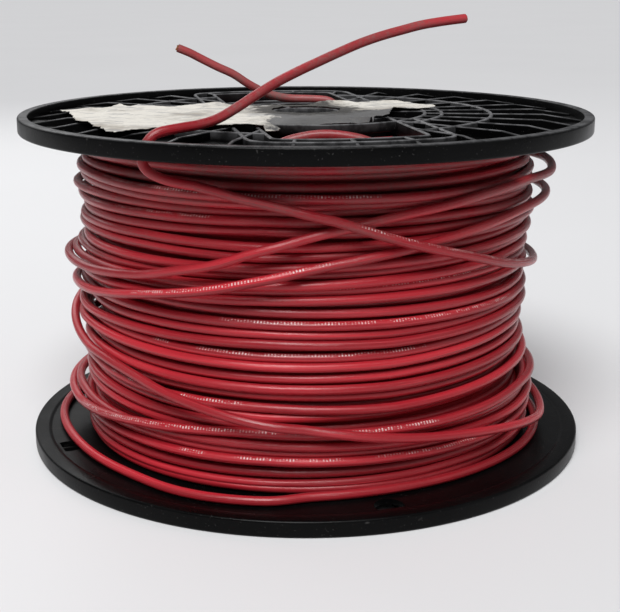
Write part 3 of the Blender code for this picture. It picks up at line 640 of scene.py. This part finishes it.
def crestRadius(heights):
    shares, radii = np.array(winding["shares"]), np.array(winding["radii"])
    share = (heights - winding["low"]) / (winding["high"] - winding["low"])
    i = np.clip(np.searchsorted(shares, share) - 1, 0, len(shares) - 2)
    blend = eased((share - shares[i]) / (shares[i + 1] - shares[i]))
    return radii[i] + (radii[i + 1] - radii[i]) * blend


def restingOn(laid, first, heights):
    # how far out a wire at these heights lies on the turns already there
    index = (first + np.arange(len(heights))) % winding["samples"]
    stackZ = np.array([turn[0] for turn in laid])[:, index]
    stackR = np.array([turn[1] for turn in laid])[:, index]
    gap = wire["diameter"] ** 2 - (stackZ - heights[None, :]) ** 2
    reach = np.where(gap > 0, stackR + np.sqrt(np.maximum(gap, 0)), 0)
    return np.nan_to_num(reach).max(axis=0)


def softened(values, times):
    for _ in range(times):
        padded = np.concatenate([values[:1], values, values[-1:]])
        values = (padded[:-2] + 2 * padded[1:-1] + padded[2:]) / 4
    return values


def bridged(radii):
    # a stiff wire spans the hollows between the places where it is held out
    lifted = radii.copy()
    for step in range(1, winding["reach"] + 1):
        drop = winding["bridge"] * step * step
        lifted[step:] = np.maximum(lifted[step:], radii[:-step] - drop)
        lifted[:-step] = np.maximum(lifted[:-step], radii[step:] - drop)
    return softened(lifted, winding["smoothTurn"])


def layTurns(heights, order, depths, laid, lifts=0.0):
    # one spiral of whole turns, each turn laid in its order on what is there
    samples = winding["samples"]
    lifts = np.broadcast_to(lifts, heights.shape)
    radii = np.zeros_like(heights)
    for now in sorted(set(order)):
        for turn in [i for i, when in enumerate(order) if when == now]:
            part = slice(turn * samples, (turn + 1) * samples + 1)
            reach = crestRadius(heights[part]) - wire["diameter"] / 2 - depths[turn]
            if laid:
                reach = np.maximum(reach, restingOn(laid, 0, heights[part]))
            reach = bridged(reach) + lifts[part]
            radii[part] = np.maximum(radii[part], reach)
            laid.append((heights[part][:samples], reach[:samples]))
    return softened(radii, winding["smoothAll"])


def turnHeights(rows):
    # each turn keeps to its own row and climbs to the next one behind
    samples = winding["samples"]
    columns = np.array(winding["columns"] + (winding["columns"][0] + 360,))
    angles = winding["begin"] + np.arange(len(rows) * samples + 1) * 360 / samples
    around = (angles - columns[0]) % 360 + columns[0]
    own = np.array([np.interp(around, columns, row + row[:1]) for row in rows])
    turn = (angles / 360).astype(int)           # changes where the angle passes 0
    climb = eased((angles % 360 - winding["stepFrom"])
                  / (winding["stepTo"] - winding["stepFrom"]))
    before, after = np.clip(turn - 1, 0, len(rows) - 1), np.clip(turn, 0, len(rows) - 1)
    at = np.arange(len(angles))
    return angles, own[before, at] * (1 - climb) + own[after, at] * climb


def slowNoise(angles, size, wavelength, seed):
    return np.array([size * noise.noise((angle / wavelength, seed, 0.5)) for angle in angles])


def tucked(radii, heights, place, start, over):
    # the end of a line eased over to a place: its distance from the axis and its height
    share = eased((np.arange(-len(radii), 0) + start) / over)
    return radii + share * (place[0] - radii), heights + share * (place[1] - heights)


def roundLine(angles, radii, heights):
    turn = np.radians(angles)
    return np.stack([radii * np.cos(turn), radii * np.sin(turn), heights], axis=1)


def within(values, ranges):
    return np.any([(values > low) & (values < high) for low, high in ranges], axis=0) * 1.0


def addWire(name, replaced, line, sides, **marks):
    addPiece(name, wireMesh(name, line, sides, **marks), redJacket, replaced)


coil = ("wire_winding",)


def makeWinding():
    laid = []
    levels = winding["underTop"] - winding["underPitch"] * np.arange(winding["underCount"])
    angles, heights = turnHeights([(level,) * len(winding["columns"]) for level in levels])
    heights = heights + slowNoise(angles, *winding["underSway"])
    radii = layTurns(heights, [0] * len(levels), [winding["underDepth"]] * len(levels), laid)
    top = (radii[0], heights[0])
    addWire("underTurns", coil, roundLine(angles, radii, heights), winding["underSides"])

    angles, heights = turnHeights([row[1:] for row in outerTurns])
    heights = heights + slowNoise(angles, *winding["sway"])
    order = [row[0] for row in outerTurns]
    depths = [winding["setIn"] if when == 1 else 0.0 for when in order]
    lifts = sum(far * np.exp(-((angles - 360 * row - angle) / wide) ** 2)
                for row, angle, far, wide in standingOut)
    radii = layTurns(heights, order, depths, laid, lifts)
    foot = (radii[0], heights[0])
    radii, heights = tucked(radii, heights, top, *winding["topTuck"])
    printed = within(angles, [(360 * row + a, 360 * row + b) for row, a, b in printedRows])
    addWire("outerTurns", coil, roundLine(angles, radii, heights), winding["sides"],
            start=winding["outerStart"], printed=printed)
    print("winding laid:", len(laid), "turns")
    return laid, foot


def makeLooseTurns(laid, foot):
    # the last turn is laid last, so the route is worked through from the foot up
    samples, begin = winding["samples"], winding["begin"]
    step = 360 / samples
    fine = curveThrough(looseRoute)
    index = np.arange(math.ceil((looseRoute[0][0] - begin) / step),
                      math.floor((looseRoute[-1][0] - begin) / step) + 1)
    angles = begin + index * step
    radii, heights = (np.interp(angles, fine[:, 0], fine[:, i]) for i in (1, 2))
    for first in range((len(index) - 1) // samples * samples, -1, -samples):
        part = slice(first, first + samples)
        lead = slice(first, min(first + samples + winding["reach"], len(index)))
        reach = np.maximum(radii[lead], restingOn(laid, index[first], heights[lead]))
        radii[lead] = np.maximum(radii[lead], bridged(reach))
        turn = np.full((2, samples), np.nan)
        turn[:, index[part] % samples] = heights[part], radii[part]
        laid.append(turn)
    radii, heights = tucked(softened(radii, winding["smoothTurn"]), heights, foot,
                            *winding["footTuck"])
    line = np.vstack([looseRoute[0], np.stack([angles, radii, heights], axis=1)])
    addWire("looseTurns", ["loose_turn_%d" % number for number in (1, 2, 3, 4)],
            roundLine(*line.T), winding["looseSides"], start=winding["looseStart"],
            printed=within(line[:, 0], printedLoose))


makeLooseTurns(*makeWinding())
print("loose turns laid")


# Core under the turns, and the turns that show on both ends of the coil

core = {"inner": 35.4, "low": 8.4, "high": 117.1, "step": 1.95, "depth": 1.35, "notch": 1.0,
        "steps": 120}                               # depth in wire diameters
coilEnds = {
    "first": 37.1, "pitch": 3.75, "turns": 13, "samples": 120, "sides": 10,
    "sway": (0.5, 50), "wave": (0.9, 65), "waveSeed": 4,
    "levels": {"topEndTurns": (118.0, 1.0), "bottomEndTurns": (7.8, 2.0)},      # and the seed
}

# Part of the coil's top layer that humps up in the front window
windowTurn = (
    (-30, -61, 113.5), (-21, -60.5, 116.6), (-13, -60, 119.2), (-5, -59.5, 122.5),
    (5.5, -59, 124.2), (16, -59, 123.2), (24, -59.5, 120.8), (31, -60, 118.0), (40, -60.5, 113.5),
)
windowTurnFacing = (0.0, -0.2, 1.0)


def makeCore():
    heights = np.arange(core["high"], core["low"], -core["step"])
    profile = [(core["inner"], core["high"])]
    for number, height in enumerate(heights):
        out = crestRadius(height) - wire["diameter"] * core["depth"]
        profile.append((out - core["notch"] * (number % 2), height))
    profile.append((core["inner"], heights[-1]))
    addPiece("windingCore", turnedMesh("windingCore", profile, core["steps"]), redJacket,
             coil)


def makeCoilEnd(name, level, seed):
    angles = np.arange(coilEnds["turns"] * coilEnds["samples"] + 1) * 360 / coilEnds["samples"]
    radii = coilEnds["first"] + angles / 360 * coilEnds["pitch"]
    radii = radii + slowNoise(angles, *coilEnds["sway"], seed)
    heights = level + slowNoise(angles, *coilEnds["wave"], seed + coilEnds["waveSeed"])
    addWire(name, coil, roundLine(angles, radii, heights), coilEnds["sides"],
            facing=(0.0, 0.0, 1.0))


addWire("windowTurn", coil, evenly(curveThrough(windowTurn), ends["spacing"]), ends["sides"],
        facing=windowTurnFacing)
makeCore()
for name, (level, seed) in coilEnds["levels"].items():
    makeCoilEnd(name, level, seed)
print("coil ends made")


# Flanges

window = {
    "width": 50.5, "outer": 82.0, "inner": 35.0, "wall": 1.4, "second": 9.6,
    "firstRing": 45.2, "innerWall": 34.3, "wallStart": 34.5,
    "arcSteps": 24, "cornerSteps": 8, "cornerGap": 0.1,
    "corners": (3.0, 1.2), "secondCorners": (8.0, 2.5),     # at the outer and the inner arc
}
holes = {"radius": 5.2, "circle": 97.6, "offset": 41.0, "steps": 40}
ribs = {
    "thickness": 1.4, "height": 3.6, "root": 4.2, "round": 0.35, "step": 0.5,
    # depths of the tops under the reel's outer face
    "top": 0.65, "ringTop": 0.5, "wallTop": 0.6, "secondTop": 0.55,
    "count": 29, "first": 4.1, "inner": 10, "innerFirst": 8.0, "lap": 0.4, "rimLap": 0.6,
    "slopeFrom": 89.0, "slopeDrop": 2.2, "rings": (45.2, 51.6, 69.9),
    # the rim's edge is painted paler, partly as wear and partly as painted highlight
    "rimWornAndHighlit": 0.5, "rimInset": 0.5,
}
ribInputs = {
    "Rib Thickness": ribs["thickness"] * mm, "Rib Height": ribs["height"] * mm,
    "Root Level": ribs["root"] * mm, "Edge Round": ribs["round"] * mm,
    "Rib Finish": blackPlastic,
}


def windowOutline(offset, inner, corners):
    # towards +Y, with each corner cut back along the outline and rounded
    half = window["width"] / 2 + offset
    last = window["arcSteps"]
    outline = []
    for radius, sign in ((window["outer"] + offset, 1), (inner, -1)):
        spread = math.asin(half / radius)
        sweep = [sign * spread * (1 - 2 * i / last) for i in range(last + 1)]
        outline += [(radius * math.sin(a), radius * math.cos(a)) for a in sweep]
    outline = np.array(outline)
    closed = np.vstack([outline, outline[:1]])
    run = runOf(closed)
    trims = {0: corners[0], last: corners[0], last + 1: corners[1], 2 * last + 1: corners[1]}
    rounded = []
    for i, point in enumerate(outline):
        if i in trims:
            start, end = (np.array([np.interp((run[i] + way * trims[i]) % run[-1], run, column)
                                    for column in closed.T]) for way in (-1, 1))
            rounded += [(1 - s) ** 2 * start + 2 * s * (1 - s) * point + s * s * end
                        for s in np.linspace(0, 1, window["cornerSteps"])]
            continue
        apart = {corner: abs(run[i] - run[corner]) for corner in trims}
        if all(min(d, run[-1] - d) > trims[c] + window["cornerGap"] for c, d in apart.items()):
            rounded.append(point)
    return np.array(rounded)[::-1]


def spun(points, degrees):
    c, s = math.cos(math.radians(degrees)), math.sin(math.radians(degrees))
    return np.asarray(points) @ np.array([[c, s], [-s, c]])


def circlePoints(radius, steps, middle=(0.0, 0.0)):
    turn = np.arange(steps) * math.tau / steps
    return np.stack([middle[0] + radius * np.cos(turn), middle[1] + radius * np.sin(turn)], axis=1)


def webMesh():
    # the flat web between rim and hub, with its arbor hole, windows and wire holes
    outlines = [circlePoints(rimInside + reel["webLap"], reel["steps"]),
                circlePoints(reel["arborRadius"], reel["arborSteps"])]
    opening = windowOutline(0, window["inner"], window["corners"])
    outlines += [spun(opening, turn) for turn in (0, 180)]
    for middle in (90 - holes["offset"], 90 + holes["offset"],
                   270 - holes["offset"], 270 + holes["offset"]):
        turn = math.radians(middle)
        outlines.append(circlePoints(holes["radius"], holes["steps"], (
            holes["circle"] * math.cos(turn), holes["circle"] * math.sin(turn))))
    curve = bpy.data.curves.new("web", "CURVE")
    curve.dimensions = "2D"
    curve.fill_mode = "BOTH"
    curve.extrude = (reel["webInner"] - reel["webOuter"]) / 2 * mm
    for outline in outlines:
        spline = curve.splines.new("POLY")
        spline.points.add(len(outline) - 1)
        for point, (x, y) in zip(spline.points, outline):
            point.co = (x * mm, y * mm, 0, 1)
        spline.use_cyclic_u = True
    mesh = plainMesh("web", linkObject("web", curve))
    mesh.transform(Matrix.Translation((0, 0, (reel["webInner"] + reel["webOuter"]) / 2 * mm)))
    return mesh


def arc(middle, radius, start, end, steps):
    turn = np.radians(np.linspace(start, end, steps))
    return [(middle[0] + radius * math.cos(a), middle[1] + radius * math.sin(a)) for a in turn]


def rimProfile():
    # outer face at height 0, clockwise when the axis is on the left
    out, top = reel["radius"], reel["rimHeight"]
    big, small, lip = reel["rimRound"], reel["footRound"], out - reel["lipWidth"]
    sunk = reel["webOuter"] + reel["rimSunk"]
    points = [(rimInside, sunk), (lip + reel["lipFoot"][0][0], sunk)]
    points += [(lip + away, reel["webInner"] + rise) for away, rise in reel["lipFoot"]]
    points += [(lip + away, top + rise) for away, rise in reel["lipTop"]]
    points += arc((out - big, top - big), big, 90, 0, 5)
    points += arc((out - big, big), big, 0, -90, 5)
    points += arc((rimInside + small, small), small, 270, 180, 4)
    return points


def ringProfile(inner, outer, low, high, corner):
    return ([(inner, high), (outer, high)] + arc((outer - corner, low + corner), corner, 0, -90, 4)
            + arc((inner + corner, low + corner), corner, 270, 180, 4))


def inWindow(x, y):
    half = window["width"] / 2 + window["wall"] / 2
    return abs(x) < half and window["wallStart"] < math.hypot(x, y) < (
        window["outer"] + window["wall"] / 2)


def ringStretches(radius):
    # the parts of a circle outside the windows, and whether it is closed
    spots = circlePoints(radius, 360)
    free = [not inWindow(x, y) for x, y in spots]
    if all(free):
        return [(spots, True)]
    runs = [[]]
    for i in np.roll(np.arange(360), -free.index(False)):
        if free[i]:
            runs[-1].append(spots[i])
        elif runs[-1]:
            runs.append([])
    return [(np.array(run), False) for run in runs if run]


def spokes(count, first, start, end):
    # each rib's angle, and the distances from the axis at which it lies outside the windows
    for number in range(count):
        turn = math.radians(first + 360 * number / count)
        stretch = [r for r in np.arange(start, end, ribs["step"])
                   if not inWindow(r * math.cos(turn), r * math.sin(turn))]
        if stretch:
            yield turn, stretch


def ribLines():
    # centre lines of all ribs and walls: points with the depth of the rib's top, and if closed
    lines = [(np.column_stack([spots, np.full(len(spots), ribs["ringTop"])]), closed)
             for radius in ribs["rings"] for spots, closed in ringStretches(radius)]
    half = ribs["thickness"] / 2
    for turn in (0, 180):
        for offset, inner, top, corners in (
                (window["wall"] / 2, window["innerWall"], ribs["wallTop"], window["corners"]),
                (window["second"] - half, window["firstRing"], ribs["secondTop"],
                 window["secondCorners"])):
            outline = spun(windowOutline(offset, inner, corners), turn)
            lines.append((np.column_stack([outline, np.full(len(outline), top)]), True))
    start, slope = ribs["rings"][0], ribs["slopeFrom"]
    rim = rimInside + ribs["rimLap"]
    hub = reel["arborRadius"] + reel["hubWall"] / 2
    knots = [(turn, [stretch[0]] + ([slope] if slope > stretch[0] else []) + [rim])
             for turn, stretch in spokes(ribs["count"], ribs["first"], start, rim)]
    knots += [(turn, (stretch[0], stretch[-1] + ribs["lap"]))
              for turn, stretch in spokes(ribs["inner"], ribs["innerFirst"], hub, start)]
    for turn, distances in knots:
        drop = [max(0.0, (r - slope) / (rim - slope)) * ribs["slopeDrop"] for r in distances]
        lines.append((np.array([(r * math.cos(turn), r * math.sin(turn), ribs["top"] + down)
                                for r, down in zip(distances, drop)]), False))
    return lines


def ribTree():
    # a bar with rounded edges along each line, cut off level at its root
    tree, given = newTree("reelRibs", ribInputs)
    path = addNode(tree, "GeometryNodeMeshToCurve", {0: given["Geometry"]})
    upright = addNode(tree, "GeometryNodeSetCurveNormal", {"Curve": path[0]}, mode="Z_UP")
    section = addNode(tree, "GeometryNodeCurvePrimitiveQuadrilateral", {
        "Width": given["Rib Thickness"], "Height": given["Rib Height"]})
    fillet = addNode(tree, "GeometryNodeFilletCurve", {
        "Curve": section[0], "Radius": given["Edge Round"]})
    sweep = addNode(tree, "GeometryNodeCurveToMesh", {
        "Curve": upright[0], "Profile Curve": fillet[0], "Fill Caps": True})
    spot = separate(addNode(tree, "GeometryNodeInputPosition")[0])
    lowest = mathNode("MINIMUM", spot[2], given["Root Level"])
    level = addNode(tree, "ShaderNodeCombineXYZ", {0: spot[0], 1: spot[1], 2: lowest})
    placed = addNode(tree, "GeometryNodeSetPosition", {
        "Geometry": sweep[0], "Position": level[0]})
    return finishTree(tree, placed[0], given["Rib Finish"])


def ribMesh(tree, lines):
    # the middle of each rib's section follows the line, half its height under the top
    points, edges = [], []
    for line, closed in lines:
        first = len(points)
        points += [(x * mm, y * mm, (top + ribs["height"] / 2) * mm) for x, y, top in line]
        edges += [(first + i, first + i + 1) for i in range(len(line) - 1)]
        if closed:
            edges.append((len(points) - 1, first))
    source = linkObject("ribLines", meshOf("ribLines", points, [], edges))
    return grown("reelRibs", source, tree, ribInputs)


def joinedMesh(name, meshes):
    points, faces = [], []
    for mesh in meshes:
        first = len(points)
        points += [tuple(vertex.co) for vertex in mesh.vertices]
        faces += [[first + i for i in face.vertices] for face in mesh.polygons]
        bpy.data.meshes.remove(mesh)
    return smoothed(meshOf(name, points, faces), "plastic")


def markWornAndHighlit(mesh):
    # how pale the plastic is painted at each point, partly wear and partly painted highlight: rib
    # tops most, the rim's edge a little
    spots = np.empty(len(mesh.vertices) * 3, np.float32)
    mesh.vertices.foreach_get("co", spots)
    x, y, z = spots.reshape(-1, 3).T / mm
    onRibs, onRim = (np.clip((level + ribs["round"] - z) / ribs["round"], 0, 1)
                     for level in (ribs["top"], 0.0))
    inside = np.hypot(x, y) < rimInside - ribs["rimInset"]
    markPoints(mesh, "wornAndHighlit", np.where(inside, onRibs, ribs["rimWornAndHighlit"] * onRim))


def makeFlange(name, tree, lines, place, cadNode):
    bore = reel["barrelRadius"] - reel["barrelWall"] - reel["fitGap"]
    hub = ringProfile(reel["arborRadius"], reel["arborRadius"] + reel["hubWall"],
                      reel["hubFrom"], reel["hubTo"], reel["hubRound"])
    spigot = ringProfile(bore - reel["spigotWall"], bore, reel["spigotFrom"],
                         reel["spigotTo"], reel["spigotRound"])
    mesh = joinedMesh(name, [
        webMesh(), turnedMesh("rim", rimProfile(), reel["steps"]),
        turnedMesh("hub", hub, reel["hubSteps"]), turnedMesh("spigot", spigot, reel["hubSteps"]),
        ribMesh(tree, lines)])
    markWornAndHighlit(mesh)
    mesh.transform(place)
    addPiece(name, mesh, blackPlastic, (cadNode,))


reelRibs = ribTree()
reelRibLines = ribLines()
bottomPlace = Matrix.Rotation(math.radians(reel["bottomTurn"]), 4, "Z")
topPlace = (Matrix.Translation((0, 0, reel["height"] * mm))
            @ Matrix.Rotation(math.radians(reel["topTurn"]), 4, "Z")
            @ Matrix.Rotation(math.pi, 4, "X"))
makeFlange("bottomFlange", reelRibs, reelRibLines, bottomPlace, "bottom_flange")
makeFlange("topFlange", reelRibs, reelRibLines, topPlace, "top_flange")
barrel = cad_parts["barrel"]
barrel.data.materials.clear()
barrel.data.materials.append(blackPlastic)
print("flanges made")


# Torn paper label on the upper flange

label = {
    "level": 126.4, "thickness": 0.16, "grid": 1.6, "seed": 5.0, "holeGap": 0.4, "holeSteps": 40,
    # low waves and finer ones: size, change per mm along x and y, seed
    "waves": ((0.6, 0.09, 0.16, 0), (0.15, 0.5, 0.7, 2)),
    "curl": 1.8, "curlWidth": 2.6, "curlChange": 0.05, "curlSeed": 20, "curlShare": 0.15,
    # the edge droops past the window's inner end, between these two places along x
    "droop": 1.9, "droopWidth": 2.0, "droopFrom": 35.5, "droopAlong": (-14, 26),
    # short steps along a tear, for x and for y: size, change per mm, seed
    "tearStep": 1.1, "tears": (((0.7, 0.45, 0), (0.35, 1.7, 3)), ((0.7, 0.45, 7), (0.35, 1.7, 11))),
    "outline": (
        (-93.0, -2.5), (-84.0, -24.0), (-80.5, -39.5), (-76.0, -40.0), (-71.5, -54.5),
        (-69.0, -57.5), (-65.0, -71.0), (-61.0, -75.5), (-58.0, -74.5), (-55.8, -68.5),
        (-51.6, -60.5), (-47.2, -57.7), (-38.0, -56.0), (-28.8, -54.8), (-19.5, -52.8),
        (-9.5, -52.8), (-9.0, -46.0), (-12.0, -36.8), (-3.0, -42.7), (12.0, -36.8),
        (21.8, -28.2), (30.0, -19.5), (33.8, -0.5), (44.0, 5.5), (50.5, 9.7), (44.2, 21.8),
        (36.5, 35.0), (31.6, 34.8), (21.0, 26.0), (13.6, 23.4), (3.0, 17.0), (-13.5, 15.0),
        (-26.0, 9.0), (-33.0, 20.5), (-36.5, 23.0), (-42.5, 19.5), (-53.0, 9.3), (-65.8, 17.1),
        (-69.0, 11.6), (-73.5, 15.5), (-75.0, 2.5), (-83.3, 0.4),
    ),
}


def labelNoise(x, y, seed):
    return noise.noise((x, y, label["seed"] + seed))


def tornEdge(points):
    points = np.asarray(points)
    line = evenly(np.vstack([points, points[:1]]), label["tearStep"])[:-1]
    moves = [[sum(size * labelNoise(x * change, y * change, seed) for size, change, seed in tears)
              for tears in label["tears"]] for x, y in line]
    return line + np.array(moves)


def encloses(polygon, x, y):
    x0, y0 = polygon.T
    x1, y1 = np.roll(x0, -1), np.roll(y0, -1)
    crosses = (y0 > y) != (y1 > y)
    with np.errstate(divide="ignore", invalid="ignore"):
        at = x0 + (y - y0) * (x1 - x0) / (y1 - y0)
    return int(np.sum(crosses & (x < at))) % 2 == 1


def labelHeight(x, y, edge):
    away = float(np.min(np.hypot(edge[:, 0] - x, edge[:, 1] - y)))
    wave = sum(size * labelNoise(x * alongX, y * alongY, seed)
               for size, alongX, alongY, seed in label["waves"])
    change = label["curlChange"]
    lift = max(0.0, labelNoise(x * change, y * change, label["curlSeed"]) + label["curlShare"])
    curl = label["curl"] * lift * math.exp(-away / label["curlWidth"])
    left, right = label["droopAlong"]
    drooping = y < 0 and math.hypot(x, y) > label["droopFrom"] and left < x < right
    droop = label["droop"] * math.exp(-away / label["droopWidth"]) if drooping else 0.0
    return label["level"] + abs(wave) + curl - droop


def makeLabel():
    edge = tornEdge(label["outline"])
    hole = tornEdge(circlePoints(reel["arborRadius"] + label["holeGap"], label["holeSteps"]))
    points = [Vector(point) for point in np.vstack([edge, hole])]
    loops = [(i, (i + 1) % len(edge)) for i in range(len(edge))]
    loops += [(len(edge) + i, len(edge) + (i + 1) % len(hole)) for i in range(len(hole))]
    grid = label["grid"]
    (lowX, lowY), (highX, highY) = edge.min(axis=0), edge.max(axis=0)
    for i, x in enumerate(np.arange(lowX, highX, grid)):
        points += [Vector((x, y + grid / 2 * (i % 2))) for y in np.arange(lowY, highY, grid)]
    found = delaunay_2d_cdt(points, loops, [], 1, 0.05)
    flat, kept = found[0], []
    for face in found[2]:
        x, y = (sum(flat[i][axis] for i in face) / len(face) for axis in (0, 1))
        if encloses(edge, x, y) and not encloses(hole, x, y):
            kept.append(face)
    used = sorted({i for face in kept for i in face})
    index = {old: new for new, old in enumerate(used)}
    points = [(flat[i][0] * mm, flat[i][1] * mm, labelHeight(*flat[i], edge) * mm) for i in used]
    faces = [[index[i] for i in face] for face in kept]
    piece = linkObject("tornLabel", meshOf("tornLabel", points, faces))
    thick = piece.modifiers.new("paper", "SOLIDIFY")
    thick.thickness = label["thickness"] * mm
    thick.offset = 1.0
    mesh = smoothed(plainMesh("tornLabel", piece), "paper")
    addPiece("tornLabel", mesh, labelPaper, ("label",))


makeLabel()
print("label made")


# Floor and light, in metres

studio = {
    "floor": 60.0, "sun": 3.4, "sunSize": 34, "sunFrom": (-0.12, -0.66, 1.0),
    "air": (0.93, 0.94, 0.97, 1), "airStrength": 0.20,
    "lamps": {                      # place, height that it is aimed at, size, power
        "keyLight": ((-0.15, -0.75, 0.85), 0.06, (0.7, 0.5), 1.6),
        "fillLight": ((0.8, -0.3, 0.5), 0.06, (0.6, 0.6), 0.5),
        "backLight": ((-0.5, 0.8, 0.7), 0.08, (0.9, 0.6), 3.0),
    },
}

half = studio["floor"] / 2
floor = linkObject("floor", meshOf("floor", [
    (-half, -half, 0), (half, -half, 0), (half, half, 0), (-half, half, 0)], [(0, 1, 2, 3)]))
floor.data.materials.append(floorPaint)

sun = bpy.data.lights.new("broadSun", "SUN")
sun.energy = studio["sun"]
sun.angle = math.radians(studio["sunSize"])
sunLamp = linkObject("broadSun", sun)
sunLamp.rotation_euler = Vector(studio["sunFrom"]).to_track_quat("Z", "Y").to_euler()
for name, (place, aim, size, power) in studio["lamps"].items():
    light = bpy.data.lights.new(name, "AREA")
    light.shape = "RECTANGLE"
    light.size, light.size_y = size
    light.energy = power
    lamp = linkObject(name, light)
    lamp.location = place
    lamp.rotation_euler = (Vector((0, 0, aim)) - Vector(place)).to_track_quat("-Z", "Y").to_euler()
world = bpy.data.worlds.new("softRoom")
world.use_nodes = True
background = world.node_tree.nodes["Background"]
background.inputs["Color"].default_value = studio["air"]
background.inputs["Strength"].default_value = studio["airStrength"]
bpy.context.scene.world = world
bpy.context.scene.view_settings.view_transform = "Standard"
